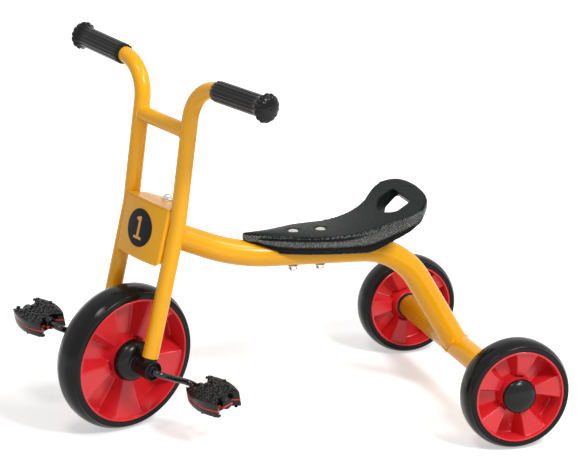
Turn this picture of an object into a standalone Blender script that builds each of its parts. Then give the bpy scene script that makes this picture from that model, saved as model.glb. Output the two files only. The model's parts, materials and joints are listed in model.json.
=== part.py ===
"""A small nursery tricycle: a bent backbone tube on a rear axle tube, a raked fork with a pressed
head bracket, direct pedals on a cranked front axle, moulded wheels and a moulded saddle.
Metres, +Z up, +X to the rider's left, -Y forward, standing on Z = 0."""

import math

import bmesh
import bpy
import numpy as np
from mathutils import Matrix, Vector

# Overall layout
WHEELBASE = 0.5499
REAR_TRACK = 0.4688
STEER_RAKE = math.radians(11.7)
STEER_OFFSET = 0.020
REST_STEER = math.radians(22.7)
REST_CRANK = math.radians(-12.7)
REST_PEDAL = math.radians(25.2)

# Clearances
SEAT_GAP = 0.0003
BORE_GAP = 0.0003
RUN_GAP = 0.0005

# Rear wheels
REAR_RADIUS = 0.085
REAR_DISC_RADIUS = 0.0707
REAR_HALF_WIDTH = 0.0239
REAR_TREAD_HALF = 0.0135
REAR_HUB_RADIUS = 0.0245
REAR_HUB_HEIGHT = 0.0173
REAR_CAP_RADIUS = 0.0268
REAR_CAP_HEIGHT = 0.0130
REAR_STEPS = 40
CAP_SHOULDER = 0.0120
DOME_EDGE = 0.0015
DOME_ANGLES = (90, 68, 45, 22, 0)
CAP_HOLLOW_RADIUS = 0.0150
CAP_HOLLOW_HEIGHT = 0.0080
CAP_STEPS = 20
RING_STEPS = 20
SMALL_STEPS = 12
PUSH_NUT_RADIUS = 0.0110
PUSH_NUT_THICKNESS = 0.0015
AXLE_STICKOUT = 0.0020

# Front wheel
FRONT_RADIUS = 0.115
FRONT_DISC_RADIUS = 0.0983
FRONT_HALF_WIDTH = 0.0250
FRONT_TREAD_HALF = 0.0143
FRONT_HUB_RADIUS = 0.0290
FRONT_HUB_HEIGHT = 0.0170
FRONT_DOME_RADIUS = 0.0335
FRONT_DOME_HEIGHT = 0.0190
FRONT_DOME_NECK = 0.0150
FRONT_STEPS = 40

# Moulded wheel web: five panels stand out and five pockets lie between them
WEB_PANELS = 5
WEB_WALL = 0.0060
WEB_WAVE = 0.0150
WEB_WAVE_AT_HUB = 0.45
WEB_FLATNESS = 1.7
WEB_BIAS = 0.30
RIM_WALL = 0.0040
TYRE_EDGE = 0.0035
TYRE_SHOULDER_ANGLES = (90, 58, 28, 0)
WEB_HUB_SLOPE = 0.0060
REAR_WEB_TURN_LEFT = math.radians(26.0)
REAR_WEB_TURN_RIGHT = math.radians(16.0)
FRONT_WEB_TURN = math.radians(11.7)

# Fork tubes and handlebar
FORK_TUBE_DIAMETER = 0.025
FORK_TUBE_WALL = 0.0022
LEG_SPACING = 0.119
LEG_END_HEIGHT = 0.0185
LEG_KINK_HEIGHT = 0.2286
LEG_KINK_ANGLE = math.radians(6.44)
LEG_KINK_RADIUS = 0.120
CROSS_TUBE_DIAMETER = 0.0235
CROSS_TUBE_RISE = 0.1395
HANDLE_RISE = 0.2128
HANDLE_BEND_RADIUS = 0.057
HANDLE_TILT = math.radians(1.8)
HANDLE_REACH = 0.224
COPE_GAP = 0.0003

# Grips
GRIP_START = 0.1145
GRIP_LENGTH = 0.1225
GRIP_DIAMETER = 0.0320
GRIP_FLARE_DIAMETER = 0.0440
GRIP_FLARE_LENGTH = 0.0300
GRIP_DOME_HEIGHT = 0.0100
GRIP_RIBS = 12
GRIP_RIB_HEIGHT = 0.0009

# Head bracket and steering bearing
BRACKET_FRONT = 0.0406
BRACKET_BOTTOM = 0.1600
BRACKET_TOP = 0.2474
BRACKET_REAR = 0.0080
BRACKET_REAR_HALF = 0.0240
BRACKET_SHEET = 0.0030
BRACKET_LAP = 0.0073
BRACKET_HALF = LEG_SPACING / 2 - BRACKET_LAP
BRACKET_BOW_DEPTH = 0.0045
BRACKET_BOW_STEPS = 6
BRACKET_NOTCH_SLOPE = 0.7
BRACKET_EDGE_RADIUS = 0.0035
BRACKET_SIDE_REAR = -0.0070
BRACKET_EDGE_STEPS = 3
BRACKET_FLOOR = 0.1690
BRACKET_TRIM_STEPS = 16
BRACKET_LOWER_BOW = 0.0015
BRACKET_CORNER_LIFT = 0.0080
BRACKET_CORNER_POWER = 14
BADGE_DIAMETER = 0.0580
BADGE_THICKNESS = 0.0008
BADGE_HEIGHT = 0.2010
BADGE_RINGS = 3
BADGE_STEPS = 24
HEAD_TUBE_DIAMETER = 0.0420
HEAD_TUBE_WALL = 0.0035
BUSH_FLANGE = 0.0030
BUSH_FLANGE_DIAMETER = 0.0410
BUSH_DEPTH = 0.0160
KING_BOLT_DIAMETER = 0.0090
KING_NUT_HEIGHT = 0.0105
KING_NUT_FILL = 0.70
KING_NUT_SKIRT = 0.42
KING_NUT_DOME = 0.86
KING_NUT_ANGLES = (65, 40, 15)
NUT_FLATS_RATIO = 1.6
NUT_HEIGHT_RATIO = 0.8
BOLT_HEAD_RATIO = 0.62

# Backbone tube and rear axle tube
MAIN_TUBE_DIAMETER = 0.0400
MAIN_HEAD_RISE = 0.2000
MAIN_FRONT_REACH = 0.1208
MAIN_REAR_REACH = 0.1042
MAIN_SADDLE_SLOPE = math.radians(1.2)
MAIN_SADDLE_HEIGHT = 0.2578
MAIN_SADDLE_MIDDLE = -0.2500
MAIN_FRONT_RADIUS = 0.300
MAIN_REAR_RADIUS = 0.115
MAIN_BEND_STEPS = 6
AXLE_TUBE_DIAMETER = 0.0400
AXLE_TUBE_WALL = 0.0025
AXLE_DIAMETER = 0.0120
PLUG_FLANGE = 0.0045
PLUG_FLANGE_DIAMETER = 0.0455
PLUG_DEPTH = 0.0280
PLUG_CHAMFER = 0.0010

# Cranked front axle and pedals
ROD_DIAMETER = 0.0100
CRANK_LENGTH = 0.0670
CRANK_PLANE = 0.0865
CRANK_BEND_RADIUS = 0.0120
BOSS_RADIUS = 0.0152
BOSS_INNER = 0.0440
BOSS_OUTER = 0.0745
PLUG_STUB = 0.0340
RIVET_DIAMETER = 0.0032
RIVET_HEAD_RADIUS = 0.0034
RIVET_HEAD_HEIGHT = 0.0016
RIVET_LENGTH = 0.0080
RIVET_RISE = 0.0170
PEDAL_CENTRE = 0.1440
PEDAL_LENGTH = 0.0780
PEDAL_CORNER = 0.0215
PEDAL_BULGE = 0.0300
PEDAL_TOP = 0.0110
PEDAL_BOTTOM = 0.0132
PEDAL_CORE = 0.0024
PEDAL_BOSS_HALF = 0.0085
PEDAL_BOSS_INSET = 0.0030
PEDAL_BOSS_TAPER = 0.85
PEDAL_NOTCH = 0.0140
PEDAL_ROD_STOP = 0.0120
PEDAL_CORE_DROP = 0.0009
PEDAL_CORE_INSET = 0.0004
PEDAL_SIDE_STEPS = 6

# Saddle
SADDLE_NOSE = -0.3610
SADDLE_TAIL = -0.0765
SADDLE_OVER_TUBE = 0.0170
SADDLE_TOP = MAIN_SADDLE_HEIGHT + MAIN_TUBE_DIAMETER / 2 + SADDLE_OVER_TUBE
SADDLE_RISE_START = -0.2280
SADDLE_RISE_RADIUS = 0.1850
SADDLE_RISE_ANGLE = math.radians(33.0)
SADDLE_CROWN = 0.0034
SADDLE_NOSE_LIFT = 0.0010
SADDLE_NOSE_REACH = 0.0800
SADDLE_TAIL_SWEEP = 0.0210
SADDLE_TAIL_SWEEP_LENGTH = 0.0900
SADDLE_SIDE_TUCK = 0.0030
GRAB_HALF_WIDTH = 0.0400
GRAB_REAR = -0.1045
GRAB_DEPTH = 0.0420
GRAB_ANGLE = math.radians(36.0)
GRAB_BOW = 0.0170
GRAB_CORNER = 0.0050
GRAB_BOW_STEPS = 8
SADDLE_BOLTS = (-0.2795, -0.2352)
SADDLE_BOLT_DIAMETER = 0.0080
RECESS_DIAMETER = 0.0200
RECESS_DEPTH = 0.0050
SADDLE_HEAD_GAP = 0.0012
SADDLE_HEAD_HEIGHT = 0.0054
SADDLE_BOLT_STICKOUT = 0.0030
SADDLE_STEPS = 17
SADDLE_SHARES = (0.0, 0.35, 0.65, 0.87, 1.0)
SADDLE_TAIL_EDGE = 0.0100
SADDLE_SWEEP_POWER = 1.5
SHOULDER_SHARE = 1 / 3

# Half-width of the saddle against the distance from its nose, then the height of its lower edge
# over or under the top of its level part against the same distance
SADDLE_WIDTHS = (
    (0.000, 0.0035), (0.012, 0.0110), (0.042, 0.0205), (0.082, 0.0380), (0.122, 0.0475),
    (0.172, 0.0540), (0.202, 0.0610), (0.222, 0.0710), (0.242, 0.0840), (0.257, 0.0960),
)
SADDLE_LOWER = (
    (0.000, -0.0068), (0.022, -0.0208), (0.044, -0.0293), (0.062, -0.0318), (0.182, -0.0318),
    (0.202, -0.0253), (0.222, -0.0108), (0.242, 0.0087), (0.262, 0.0292), (0.2855, 0.0502),
)

# Round bolt and rivet head: radius and height as shares of the full ones
ROUND_HEAD = ((0.0, 1.0), (0.65, 0.85), (1.0, 0.3), (1.0, 0.0))

# Ball end of a grip: radius as a share of the ball's, and drop from the tip in dome heights
GRIP_BALL = ((0.0, 0.0), (0.55, 0.15), (0.88, 0.50), (1.0, 1.0), (0.93, 1.35), (0.77, 1.95))

# Colours as linear red, green and blue
YELLOW = (0.86, 0.38, 0.018)
BLACK = (0.012, 0.012, 0.012)
RED = (0.70, 0.020, 0.022)
STEEL = (0.62, 0.62, 0.62)
INK = (0.010, 0.014, 0.020)


def clear_scene():
    for obj in list(bpy.data.objects):
        bpy.data.objects.remove(obj, do_unlink=True)


def new_collection(name, hidden):
    made = bpy.data.collections.new(name)
    bpy.context.scene.collection.children.link(made)
    made.hide_render = hidden
    return made


def finish(name, colour, roughness, metallic=0.0):
    made = bpy.data.materials.new(name)
    made.use_nodes = True
    shader = made.node_tree.nodes["Principled BSDF"]
    shader.inputs["Base Color"].default_value = (*colour, 1.0)
    shader.inputs["Roughness"].default_value = roughness
    shader.inputs["Metallic"].default_value = metallic
    return made


def paint(name):
    return finish(name, YELLOW, 0.25)


def black_plastic(name):
    return finish(name, BLACK, 0.45)


def red_plastic(name):
    return finish(name, RED, 0.30)


def bright_steel(name):
    return finish(name, STEEL, 0.20, 1.0)


clear_scene()
PARTS = new_collection("tricycle", False)
CUTTERS = new_collection("cutters", True)


def empty(name, parent, place):
    made = bpy.data.objects.new(name, None)
    made.empty_display_size = 0.03
    PARTS.objects.link(made)
    made.parent = parent
    made.matrix_local = place
    return made


def put(obj, parent, place, material):
    """Hangs a solid on its empty and gives it its finish."""
    obj.parent = parent
    obj.matrix_local = place
    obj.data.materials.clear()
    obj.data.materials.append(material)
    return obj


def from_bmesh(name, bm, cutter=False):
    mesh = bpy.data.meshes.new(name)
    bmesh.ops.recalc_face_normals(bm, faces=bm.faces)
    bm.to_mesh(mesh)
    bm.free()
    obj = bpy.data.objects.new(name, mesh)
    (CUTTERS if cutter else PARTS).objects.link(obj)
    if cutter:
        obj.hide_render = True
        obj.display_type = "WIRE"
    return obj


def smooth(obj, angle=math.radians(35)):
    obj.data.shade_smooth()
    obj.data.set_sharp_from_angle(angle=angle)
    return obj


def settle(obj):
    """Replaces an object by the mesh that its modifiers or its curve make, in place."""
    bpy.context.view_layer.update()
    graph = bpy.context.evaluated_depsgraph_get()
    mesh = bpy.data.meshes.new_from_object(obj.evaluated_get(graph))
    bm = bmesh.new()
    bm.from_mesh(mesh)
    bmesh.ops.remove_doubles(bm, verts=bm.verts, dist=1e-6)
    bmesh.ops.recalc_face_normals(bm, faces=bm.faces)
    bm.to_mesh(mesh)
    bm.free()
    name = obj.name
    made = bpy.data.objects.new(name + "_mesh", mesh)
    for home in obj.users_collection:
        home.objects.link(made)
    made.hide_render = obj.hide_render
    made.display_type = obj.display_type
    made.matrix_world = obj.matrix_world.copy()
    bpy.data.objects.remove(obj, do_unlink=True)
    made.name = name
    mesh.name = name
    return made


def turned(name, profile, steps, cutter=False):
    """A profile of (radius, height) points swept round local Z. It runs down the outer side."""
    bm = bmesh.new()
    verts = [bm.verts.new((radius, 0.0, height)) for radius, height in profile]
    closed = profile[0][0] > 0.0
    for first, second in zip(verts, verts[1:] + verts[:1] if closed else verts[1:]):
        bm.edges.new((first, second))
    mesh = bpy.data.meshes.new(name)
    bm.to_mesh(mesh)
    bm.free()
    obj = bpy.data.objects.new(name, mesh)
    (CUTTERS if cutter else PARTS).objects.link(obj)
    screw = obj.modifiers.new("turn", "SCREW")
    screw.steps = steps
    screw.render_steps = steps
    screw.use_merge_vertices = True
    screw.merge_threshold = 1e-6
    screw.use_smooth_shade = False
    obj = settle(obj)
    if cutter:
        obj.hide_render = True
        obj.display_type = "WIRE"
    return smooth(obj)


def rod(name, radius, length, steps, cutter=False):
    """A plain round bar along local Z, centred on it."""
    bm = bmesh.new()
    bmesh.ops.create_cone(bm, cap_ends=True, segments=steps, radius1=radius, radius2=radius, depth=length)
    return smooth(from_bmesh(name, bm, cutter))


def filleted(points, radii, steps):
    """The points of a path whose inner corners are arcs of the given radii."""
    path = [Vector(points[0])]
    for before, corner, after, radius in zip(points, points[1:], points[2:], radii):
        corner = Vector(corner)
        back = (Vector(before) - corner).normalized()
        ahead = (Vector(after) - corner).normalized()
        half = back.angle(ahead) / 2
        reach = radius / math.tan(half)
        centre = corner + (back + ahead).normalized() * (radius / math.sin(half))
        start = corner + back * reach - centre
        end = corner + ahead * reach - centre
        axis = start.cross(end).normalized()
        for step in range(steps + 1):
            turn = Matrix.Rotation(start.angle(end) * step / steps, 3, axis)
            path.append(centre + turn @ start)
    path.append(Vector(points[-1]))
    return path


def tube(name, path, diameter, resolution, cutter=False):
    """A round tube or rod along a path."""
    curve = bpy.data.curves.new(name, "CURVE")
    curve.dimensions = "3D"
    curve.bevel_depth = diameter / 2
    curve.bevel_resolution = resolution
    curve.use_fill_caps = True
    spline = curve.splines.new("POLY")
    spline.points.add(len(path) - 1)
    for point, place in zip(spline.points, path):
        point.co = (*place, 1.0)
    obj = bpy.data.objects.new(name, curve)
    (CUTTERS if cutter else PARTS).objects.link(obj)
    obj = settle(obj)
    if cutter:
        obj.hide_render = True
        obj.display_type = "WIRE"
    return smooth(obj)


def plate(name, outline, thickness, cutter=False):
    """A flat outline in local XY, with its thickness centred on it."""
    curve = bpy.data.curves.new(name, "CURVE")
    curve.dimensions = "2D"
    curve.fill_mode = "BOTH"
    curve.extrude = thickness / 2
    spline = curve.splines.new("POLY")
    spline.points.add(len(outline) - 1)
    for point, (across, along) in zip(spline.points, outline):
        point.co = (across, along, 0.0, 1.0)
    spline.use_cyclic_u = True
    obj = bpy.data.objects.new(name, curve)
    (CUTTERS if cutter else PARTS).objects.link(obj)
    obj = settle(obj)
    if cutter:
        obj.hide_render = True
        obj.display_type = "WIRE"
    return obj


def combine(obj, other, operation="DIFFERENCE"):
    boolean = obj.modifiers.new(operation.lower(), "BOOLEAN")
    boolean.operation = operation
    boolean.solver = "EXACT"
    boolean.object = other
    return boolean


def place_cutter(obj, parent, place):
    obj.parent = parent
    obj.matrix_local = place
    return obj


def shift(x=0.0, y=0.0, z=0.0):
    return Matrix.Translation((x, y, z))


def along_x(x=0.0, y=0.0, z=0.0, side=1):
    """Turns local Z to point along +X or, on the other side, along -X."""
    return shift(x, y, z) @ Matrix.Rotation(side * math.pi / 2, 4, "Y")


def along_y(x=0.0, y=0.0, z=0.0):
    return shift(x, y, z) @ Matrix.Rotation(-math.pi / 2, 4, "X")


def smooth_through(points):
    """A function that runs through the points with a continuous slope and no overshoot."""
    at = np.array([point[0] for point in points])
    value = np.array([point[1] for point in points])
    step = np.diff(value) / np.diff(at)
    slope = np.concatenate([step[:1], (step[1:] + step[:-1]) / 2, step[-1:]])
    slope[1:-1][step[1:] * step[:-1] <= 0] = 0.0

    def read(where):
        i = int(np.clip(np.searchsorted(at, where) - 1, 0, len(at) - 2))
        width = at[i + 1] - at[i]
        t = min(max((where - at[i]) / width, 0.0), 1.0)
        return (
            (2 * t**3 - 3 * t**2 + 1) * value[i]
            + (t**3 - 2 * t**2 + t) * width * slope[i]
            + (3 * t**2 - 2 * t**3) * value[i + 1]
            + (t**3 - t**2) * width * slope[i + 1]
        )

    return read


def loft(name, rings):
    """A closed solid through rings of as many points each, with flat ends."""
    bm = bmesh.new()
    rows = [[bm.verts.new(point) for point in ring] for ring in rings]
    for row, following in zip(rows, rows[1:]):
        for i in range(len(row)):
            j = (i + 1) % len(row)
            bm.faces.new((row[i], row[j], following[j], following[i]))
    bm.faces.new(rows[0])
    bm.faces.new(rows[-1])
    return from_bmesh(name, bm)


# The empties that carry each body
REAR_AXLE_HEIGHT = REAR_RADIUS * math.cos(math.pi / REAR_STEPS)
ORIGIN = empty("tricycle_origin", None, shift())
RAKE = Matrix.Rotation(-STEER_RAKE, 4, "X")
STEER = Matrix.Rotation(REST_STEER, 4, "Z")


def front_axle_height():
    """Height of the front axle above the ground with which the turned wheel stands on it."""
    lean = math.sin(REST_STEER) * math.sin(STEER_RAKE)
    upright = math.sqrt(1 - lean**2)
    lift = STEER_OFFSET * math.sin(STEER_RAKE) * (1 - math.cos(REST_STEER))
    return FRONT_RADIUS * upright + FRONT_TREAD_HALF * lean + lift


FRONT_AXLE = Vector((0.0, -WHEELBASE, front_axle_height()))
HEAD_FOOT = FRONT_AXLE + RAKE.to_3x3() @ Vector((0.0, STEER_OFFSET, 0.0))
HEAD = empty("head_axis", ORIGIN, Matrix.Translation(HEAD_FOOT) @ RAKE)
FORK = empty("steering_axis", HEAD, STEER)
FRONT = empty("front_wheel_axis", FORK, shift(y=-STEER_OFFSET) @ Matrix.Rotation(REST_CRANK, 4, "X"))
PEDALS = {
    side: empty(
        "pedal_axis_" + name,
        FRONT,
        shift(y=side * CRANK_LENGTH) @ Matrix.Rotation(REST_PEDAL - REST_CRANK, 4, "X"),
    )
    for side, name in ((1, "left"), (-1, "right"))
}
REARS = {
    side: empty("rear_wheel_axis_" + name, ORIGIN, shift(side * REAR_TRACK / 2, 0.0, REAR_AXLE_HEIGHT))
    for side, name in ((1, "left"), (-1, "right"))
}
SIDES = ((1, "left"), (-1, "right"))


def tyre_profile(radius, bore, half_width, tread_half):
    """Flat tread, round shoulders and short upright sides over the rim, as one closed loop."""
    edge = bore + TYRE_EDGE
    shoulder = half_width - tread_half
    drop = radius - edge
    arc = [
        (edge + drop * math.cos(angle), tread_half + shoulder * math.sin(angle))
        for angle in np.radians(TYRE_SHOULDER_ANGLES)
    ]
    upper = [(bore, half_width)] + arc
    return upper + [(r, -height) for r, height in reversed(upper)]


def make_tyre(name, parent, size, steps):
    radius, disc_radius, half_width, tread_half = size
    profile = tyre_profile(radius, disc_radius + SEAT_GAP, half_width - SEAT_GAP, tread_half)
    tyre = turned(name, profile, steps)
    half_step = Matrix.Rotation(math.pi / steps, 4, "Z")
    return put(tyre, parent, along_x() @ half_step, black_plastic(name + "_rubber"))


def web_wave(angle):
    """+1 on a panel that stands out, -1 in a pocket, with steep walls between them."""
    return float(np.clip(WEB_FLATNESS * math.cos(WEB_PANELS * angle) + WEB_BIAS, -1.0, 1.0))


def make_disc(name, parent, side, size, bore, steps, turn):
    """A turned disc whose web is then pushed out and in to make panels and pockets."""
    radius, half_width, hub_radius, hub_height = size
    rim = radius - RIM_WALL
    foot = hub_radius + WEB_HUB_SLOPE
    half = WEB_WALL / 2
    half_step = math.pi / steps
    outer = [
        (bore, hub_height),
        (hub_radius, hub_height),
        (foot, half),
        (rim, half),
        (rim, half_width),
        (radius, half_width),
    ]
    disc = turned(name, outer + [(r, -height) for r, height in reversed(outer)], steps)
    for vert in disc.data.vertices:
        ring = math.hypot(vert.co.x, vert.co.y)
        if abs(abs(vert.co.z) - half) < 1e-6:
            share = (ring - foot) / (rim - foot)
            depth = WEB_WAVE * (WEB_WAVE_AT_HUB + (1 - WEB_WAVE_AT_HUB) * share)
            vert.co.z += depth * web_wave(math.atan2(vert.co.y, vert.co.x) + half_step - turn)
    smooth(disc, math.radians(30))
    place = along_x(side=side) @ Matrix.Rotation(half_step, 4, "Z")
    return put(disc, parent, place, red_plastic(name + "_red"))


def dome_profile(base, height, neck):
    """The outer side of a low round dome, from the neck at its top down to its flat base."""
    outer = [
        (neck + (base - neck) * math.cos(angle), DOME_EDGE + (height - DOME_EDGE) * math.sin(angle))
        for angle in np.radians(DOME_ANGLES)
    ]
    return outer + [(base, 0.0)]


def headed_profile(head, height, shank, foot):
    """A round head on its seat at height 0, then the shank down to its foot."""
    profile = [(head * across, height * rise) for across, rise in ROUND_HEAD]
    return profile + [(shank, 0.0), (shank, foot), (0.0, foot)]


def hex_prism(name, across_flats, height, cutter=False):
    bm = bmesh.new()
    radius = across_flats / math.sqrt(3)
    bmesh.ops.create_cone(bm, cap_ends=True, segments=6, radius1=radius, radius2=radius, depth=height)
    return from_bmesh(name, bm, cutter)


def make_rear_wheel(side, name):
    parent = REARS[side]
    turn = REAR_WEB_TURN_LEFT if side > 0 else REAR_WEB_TURN_RIGHT
    bore = AXLE_DIAMETER / 2 + RUN_GAP
    size = (REAR_DISC_RADIUS, REAR_HALF_WIDTH, REAR_HUB_RADIUS, REAR_HUB_HEIGHT)
    make_disc("rear_disc_" + name, parent, side, size, bore, REAR_STEPS, turn)
    tyre_size = (REAR_RADIUS, REAR_DISC_RADIUS, REAR_HALF_WIDTH, REAR_TREAD_HALF)
    make_tyre("rear_tyre_" + name, parent, tyre_size, REAR_STEPS)
    dome = dome_profile(REAR_CAP_RADIUS, REAR_CAP_HEIGHT, CAP_SHOULDER)
    hollow = [(CAP_HOLLOW_RADIUS, 0.0), (CAP_HOLLOW_RADIUS, CAP_HOLLOW_HEIGHT), (0.0, CAP_HOLLOW_HEIGHT)]
    cap = turned("rear_cap_" + name, [(0.0, REAR_CAP_HEIGHT)] + dome + hollow, CAP_STEPS)
    face = side * (REAR_HUB_HEIGHT + SEAT_GAP)
    put(cap, parent, along_x(face, side=side), black_plastic(cap.name + "_black"))
    ring = ring_profile(PUSH_NUT_RADIUS, bore, PUSH_NUT_THICKNESS)
    nut = turned("rear_push_nut_" + name, ring, SMALL_STEPS)
    middle = side * (REAR_HUB_HEIGHT + RUN_GAP + PUSH_NUT_THICKNESS / 2)
    put(nut, parent, along_x(middle, side=side), bright_steel(nut.name + "_steel"))


def make_front_wheel():
    bore = ROD_DIAMETER / 2 + BORE_GAP
    size = (FRONT_DISC_RADIUS, FRONT_HALF_WIDTH, FRONT_HUB_RADIUS, FRONT_HUB_HEIGHT)
    make_disc("front_disc", FRONT, 1, size, bore, FRONT_STEPS, FRONT_WEB_TURN)
    tyre_size = (FRONT_RADIUS, FRONT_DISC_RADIUS, FRONT_HALF_WIDTH, FRONT_TREAD_HALF)
    make_tyre("front_tyre", FRONT, tyre_size, FRONT_STEPS)
    for side, name in SIDES:
        base = FRONT_HUB_HEIGHT + SEAT_GAP
        neck_end = BOSS_INNER - RUN_GAP - base
        dome = dome_profile(FRONT_DOME_RADIUS, FRONT_DOME_HEIGHT, FRONT_DOME_NECK)
        profile = [(bore, neck_end), (FRONT_DOME_NECK, neck_end)] + dome + [(bore, 0.0)]
        hub = turned("front_hub_" + name, profile, CAP_STEPS)
        put(hub, FRONT, along_x(side * base, side=side), black_plastic(hub.name + "_black"))


def make_crank_rod():
    """One bar that is the front axle, both crank arms and both pedal spindles."""
    end = PEDAL_CENTRE + PEDAL_LENGTH / 2 - PEDAL_ROD_STOP
    corners = [
        (end, CRANK_LENGTH, 0.0),
        (CRANK_PLANE, CRANK_LENGTH, 0.0),
        (CRANK_PLANE, 0.0, 0.0),
        (-CRANK_PLANE, 0.0, 0.0),
        (-CRANK_PLANE, -CRANK_LENGTH, 0.0),
        (-end, -CRANK_LENGTH, 0.0),
    ]
    rod_body = tube("crank_rod", filleted(corners, [CRANK_BEND_RADIUS] * 4, 3), ROD_DIAMETER, 3)
    put(rod_body, FRONT, shift(), finish("crank_rod_black", BLACK, 0.2))


def pedal_outline(inset):
    """Four pointed corners, bulging sides, and a notch round the spindle boss at each end."""
    half = PEDAL_LENGTH / 2 - inset
    corner = PEDAL_CORNER - inset
    boss = PEDAL_BOSS_HALF - inset
    side = []
    for step in range(PEDAL_SIDE_STEPS + 1):
        along = -half + 2 * half * step / PEDAL_SIDE_STEPS
        side.append((along, corner + (PEDAL_BULGE - PEDAL_CORNER) * (1 - (along / half) ** 2)))
    floor = half - PEDAL_NOTCH
    tip = half - PEDAL_BOSS_INSET
    end = [(floor, boss), (tip, boss * PEDAL_BOSS_TAPER)]
    end += [(along, -across) for along, across in reversed(end)]
    outline = side + end
    return outline + [(-along, -across) for along, across in outline]


def make_pedal(side, name):
    parent = PEDALS[side]
    core_top = -PEDAL_CORE_DROP
    core_bottom = core_top - PEDAL_CORE
    layers = (
        ("top", core_top + SEAT_GAP, PEDAL_TOP, 0.0, black_plastic),
        ("core", core_bottom, core_top, PEDAL_CORE_INSET, red_plastic),
        ("bottom", -PEDAL_BOTTOM, core_bottom - SEAT_GAP, 0.0, black_plastic),
    )
    start = side * (PEDAL_CENTRE - PEDAL_ROD_STOP + RUN_GAP)
    bore = ROD_DIAMETER / 2 + RUN_GAP
    spindle = rod("cut_spindle_" + name, bore, PEDAL_LENGTH, 16, cutter=True)
    place_cutter(spindle, parent, along_x(start))
    for layer, low, high, inset, material in layers:
        piece = plate("pedal_{}_{}".format(name, layer), pedal_outline(inset), high - low)
        place = shift(side * PEDAL_CENTRE, 0.0, (low + high) / 2)
        put(piece, parent, place, material(piece.name + "_finish"))
        combine(piece, spindle)


def leg_path(side):
    """From the leg's foot up past the kink to the grip, in the fork's own axes."""
    lean = HANDLE_RISE * math.tan(LEG_KINK_ANGLE)
    across = side * LEG_SPACING / 2
    reach = HANDLE_REACH - LEG_SPACING / 2
    corners = [
        (across, -STEER_OFFSET, LEG_END_HEIGHT),
        (across, -STEER_OFFSET, LEG_KINK_HEIGHT),
        (across, -STEER_OFFSET - lean, LEG_KINK_HEIGHT + HANDLE_RISE),
        (
            side * HANDLE_REACH,
            -STEER_OFFSET - lean,
            LEG_KINK_HEIGHT + HANDLE_RISE + reach * math.tan(HANDLE_TILT),
        ),
    ]
    return corners


def make_leg(side, name):
    corners = leg_path(side)
    path = filleted(corners[:3], [LEG_KINK_RADIUS], 2)[:-1]
    path += filleted(corners[1:], [HANDLE_BEND_RADIUS], 6)[1:]
    leg = tube("fork_leg_" + name, path, FORK_TUBE_DIAMETER, 6)
    put(leg, FORK, shift(), paint(leg.name + "_paint"))
    inside = FORK_TUBE_DIAMETER / 2 - FORK_TUBE_WALL
    bore = rod("cut_leg_bore_" + name, inside, 2 * PLUG_STUB, 16, cutter=True)
    place_cutter(bore, FORK, shift(*corners[0]))
    combine(leg, bore)
    hole = rod("cut_rivet_hole_" + name, RIVET_DIAMETER / 2 + BORE_GAP, RIVET_LENGTH * 2, 10, cutter=True)
    surface = -STEER_OFFSET + FORK_TUBE_DIAMETER / 2
    place_cutter(hole, FORK, along_y(corners[0][0], surface, LEG_END_HEIGHT + RIVET_RISE))
    combine(leg, hole)
    make_bearing_plug(side, name, hole)
    profile = headed_profile(RIVET_HEAD_RADIUS, RIVET_HEAD_HEIGHT, RIVET_DIAMETER / 2, -RIVET_LENGTH)
    rivet = turned("plug_rivet_" + name, profile, 10)
    place = along_y(corners[0][0], surface + SEAT_GAP, LEG_END_HEIGHT + RIVET_RISE)
    put(rivet, FORK, place, bright_steel(rivet.name + "_steel"))


def make_bearing_plug(side, name, rivet_hole):
    """The cross barrel that carries the axle, with a collar and a stub up into the leg."""
    middle = side * (BOSS_INNER + BOSS_OUTER) / 2
    width = BOSS_OUTER - BOSS_INNER
    barrel = turned("bearing_plug_" + name, round_bar_profile(BOSS_RADIUS, width), RING_STEPS)
    put(barrel, FORK, along_x(middle, -STEER_OFFSET), black_plastic(barrel.name + "_black"))
    collar_top = LEG_END_HEIGHT - SEAT_GAP
    stub_radius = FORK_TUBE_DIAMETER / 2 - FORK_TUBE_WALL - BORE_GAP
    stub_top = LEG_END_HEIGHT + PLUG_STUB - SEAT_GAP
    profile = [
        (0.0, stub_top),
        (stub_radius, stub_top),
        (stub_radius, collar_top),
        (FORK_TUBE_DIAMETER / 2, collar_top),
        (FORK_TUBE_DIAMETER / 2, 0.0),
        (0.0, 0.0),
    ]
    stem = turned("cut_plug_stem_" + name, profile, 16, cutter=True)
    place_cutter(stem, FORK, shift(side * LEG_SPACING / 2, -STEER_OFFSET))
    combine(barrel, stem, "UNION")
    bore = rod("cut_plug_bore_" + name, ROD_DIAMETER / 2 + RUN_GAP, 2 * width, 16, cutter=True)
    place_cutter(bore, FORK, along_x(middle, -STEER_OFFSET))
    combine(barrel, bore)
    combine(barrel, rivet_hole)


def make_cross_tube():
    rise = CROSS_TUBE_RISE
    place = shift(
        0.0,
        -STEER_OFFSET - rise * math.sin(LEG_KINK_ANGLE),
        LEG_KINK_HEIGHT + rise * math.cos(LEG_KINK_ANGLE),
    )
    cross = rod("fork_cross_tube", CROSS_TUBE_DIAMETER / 2, LEG_SPACING, RING_STEPS)
    put(cross, FORK, place @ along_x(), paint("fork_cross_tube_paint"))
    for side, name in SIDES:
        cope_radius = FORK_TUBE_DIAMETER / 2 + COPE_GAP
        cope = rod("cut_cross_cope_" + name, cope_radius, FORK_TUBE_DIAMETER * 3, 24, cutter=True)
        lean = Matrix.Rotation(LEG_KINK_ANGLE, 4, "X")
        place_cutter(cope, FORK, shift(side * LEG_SPACING / 2) @ place @ lean)
        combine(cross, cope)


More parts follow.
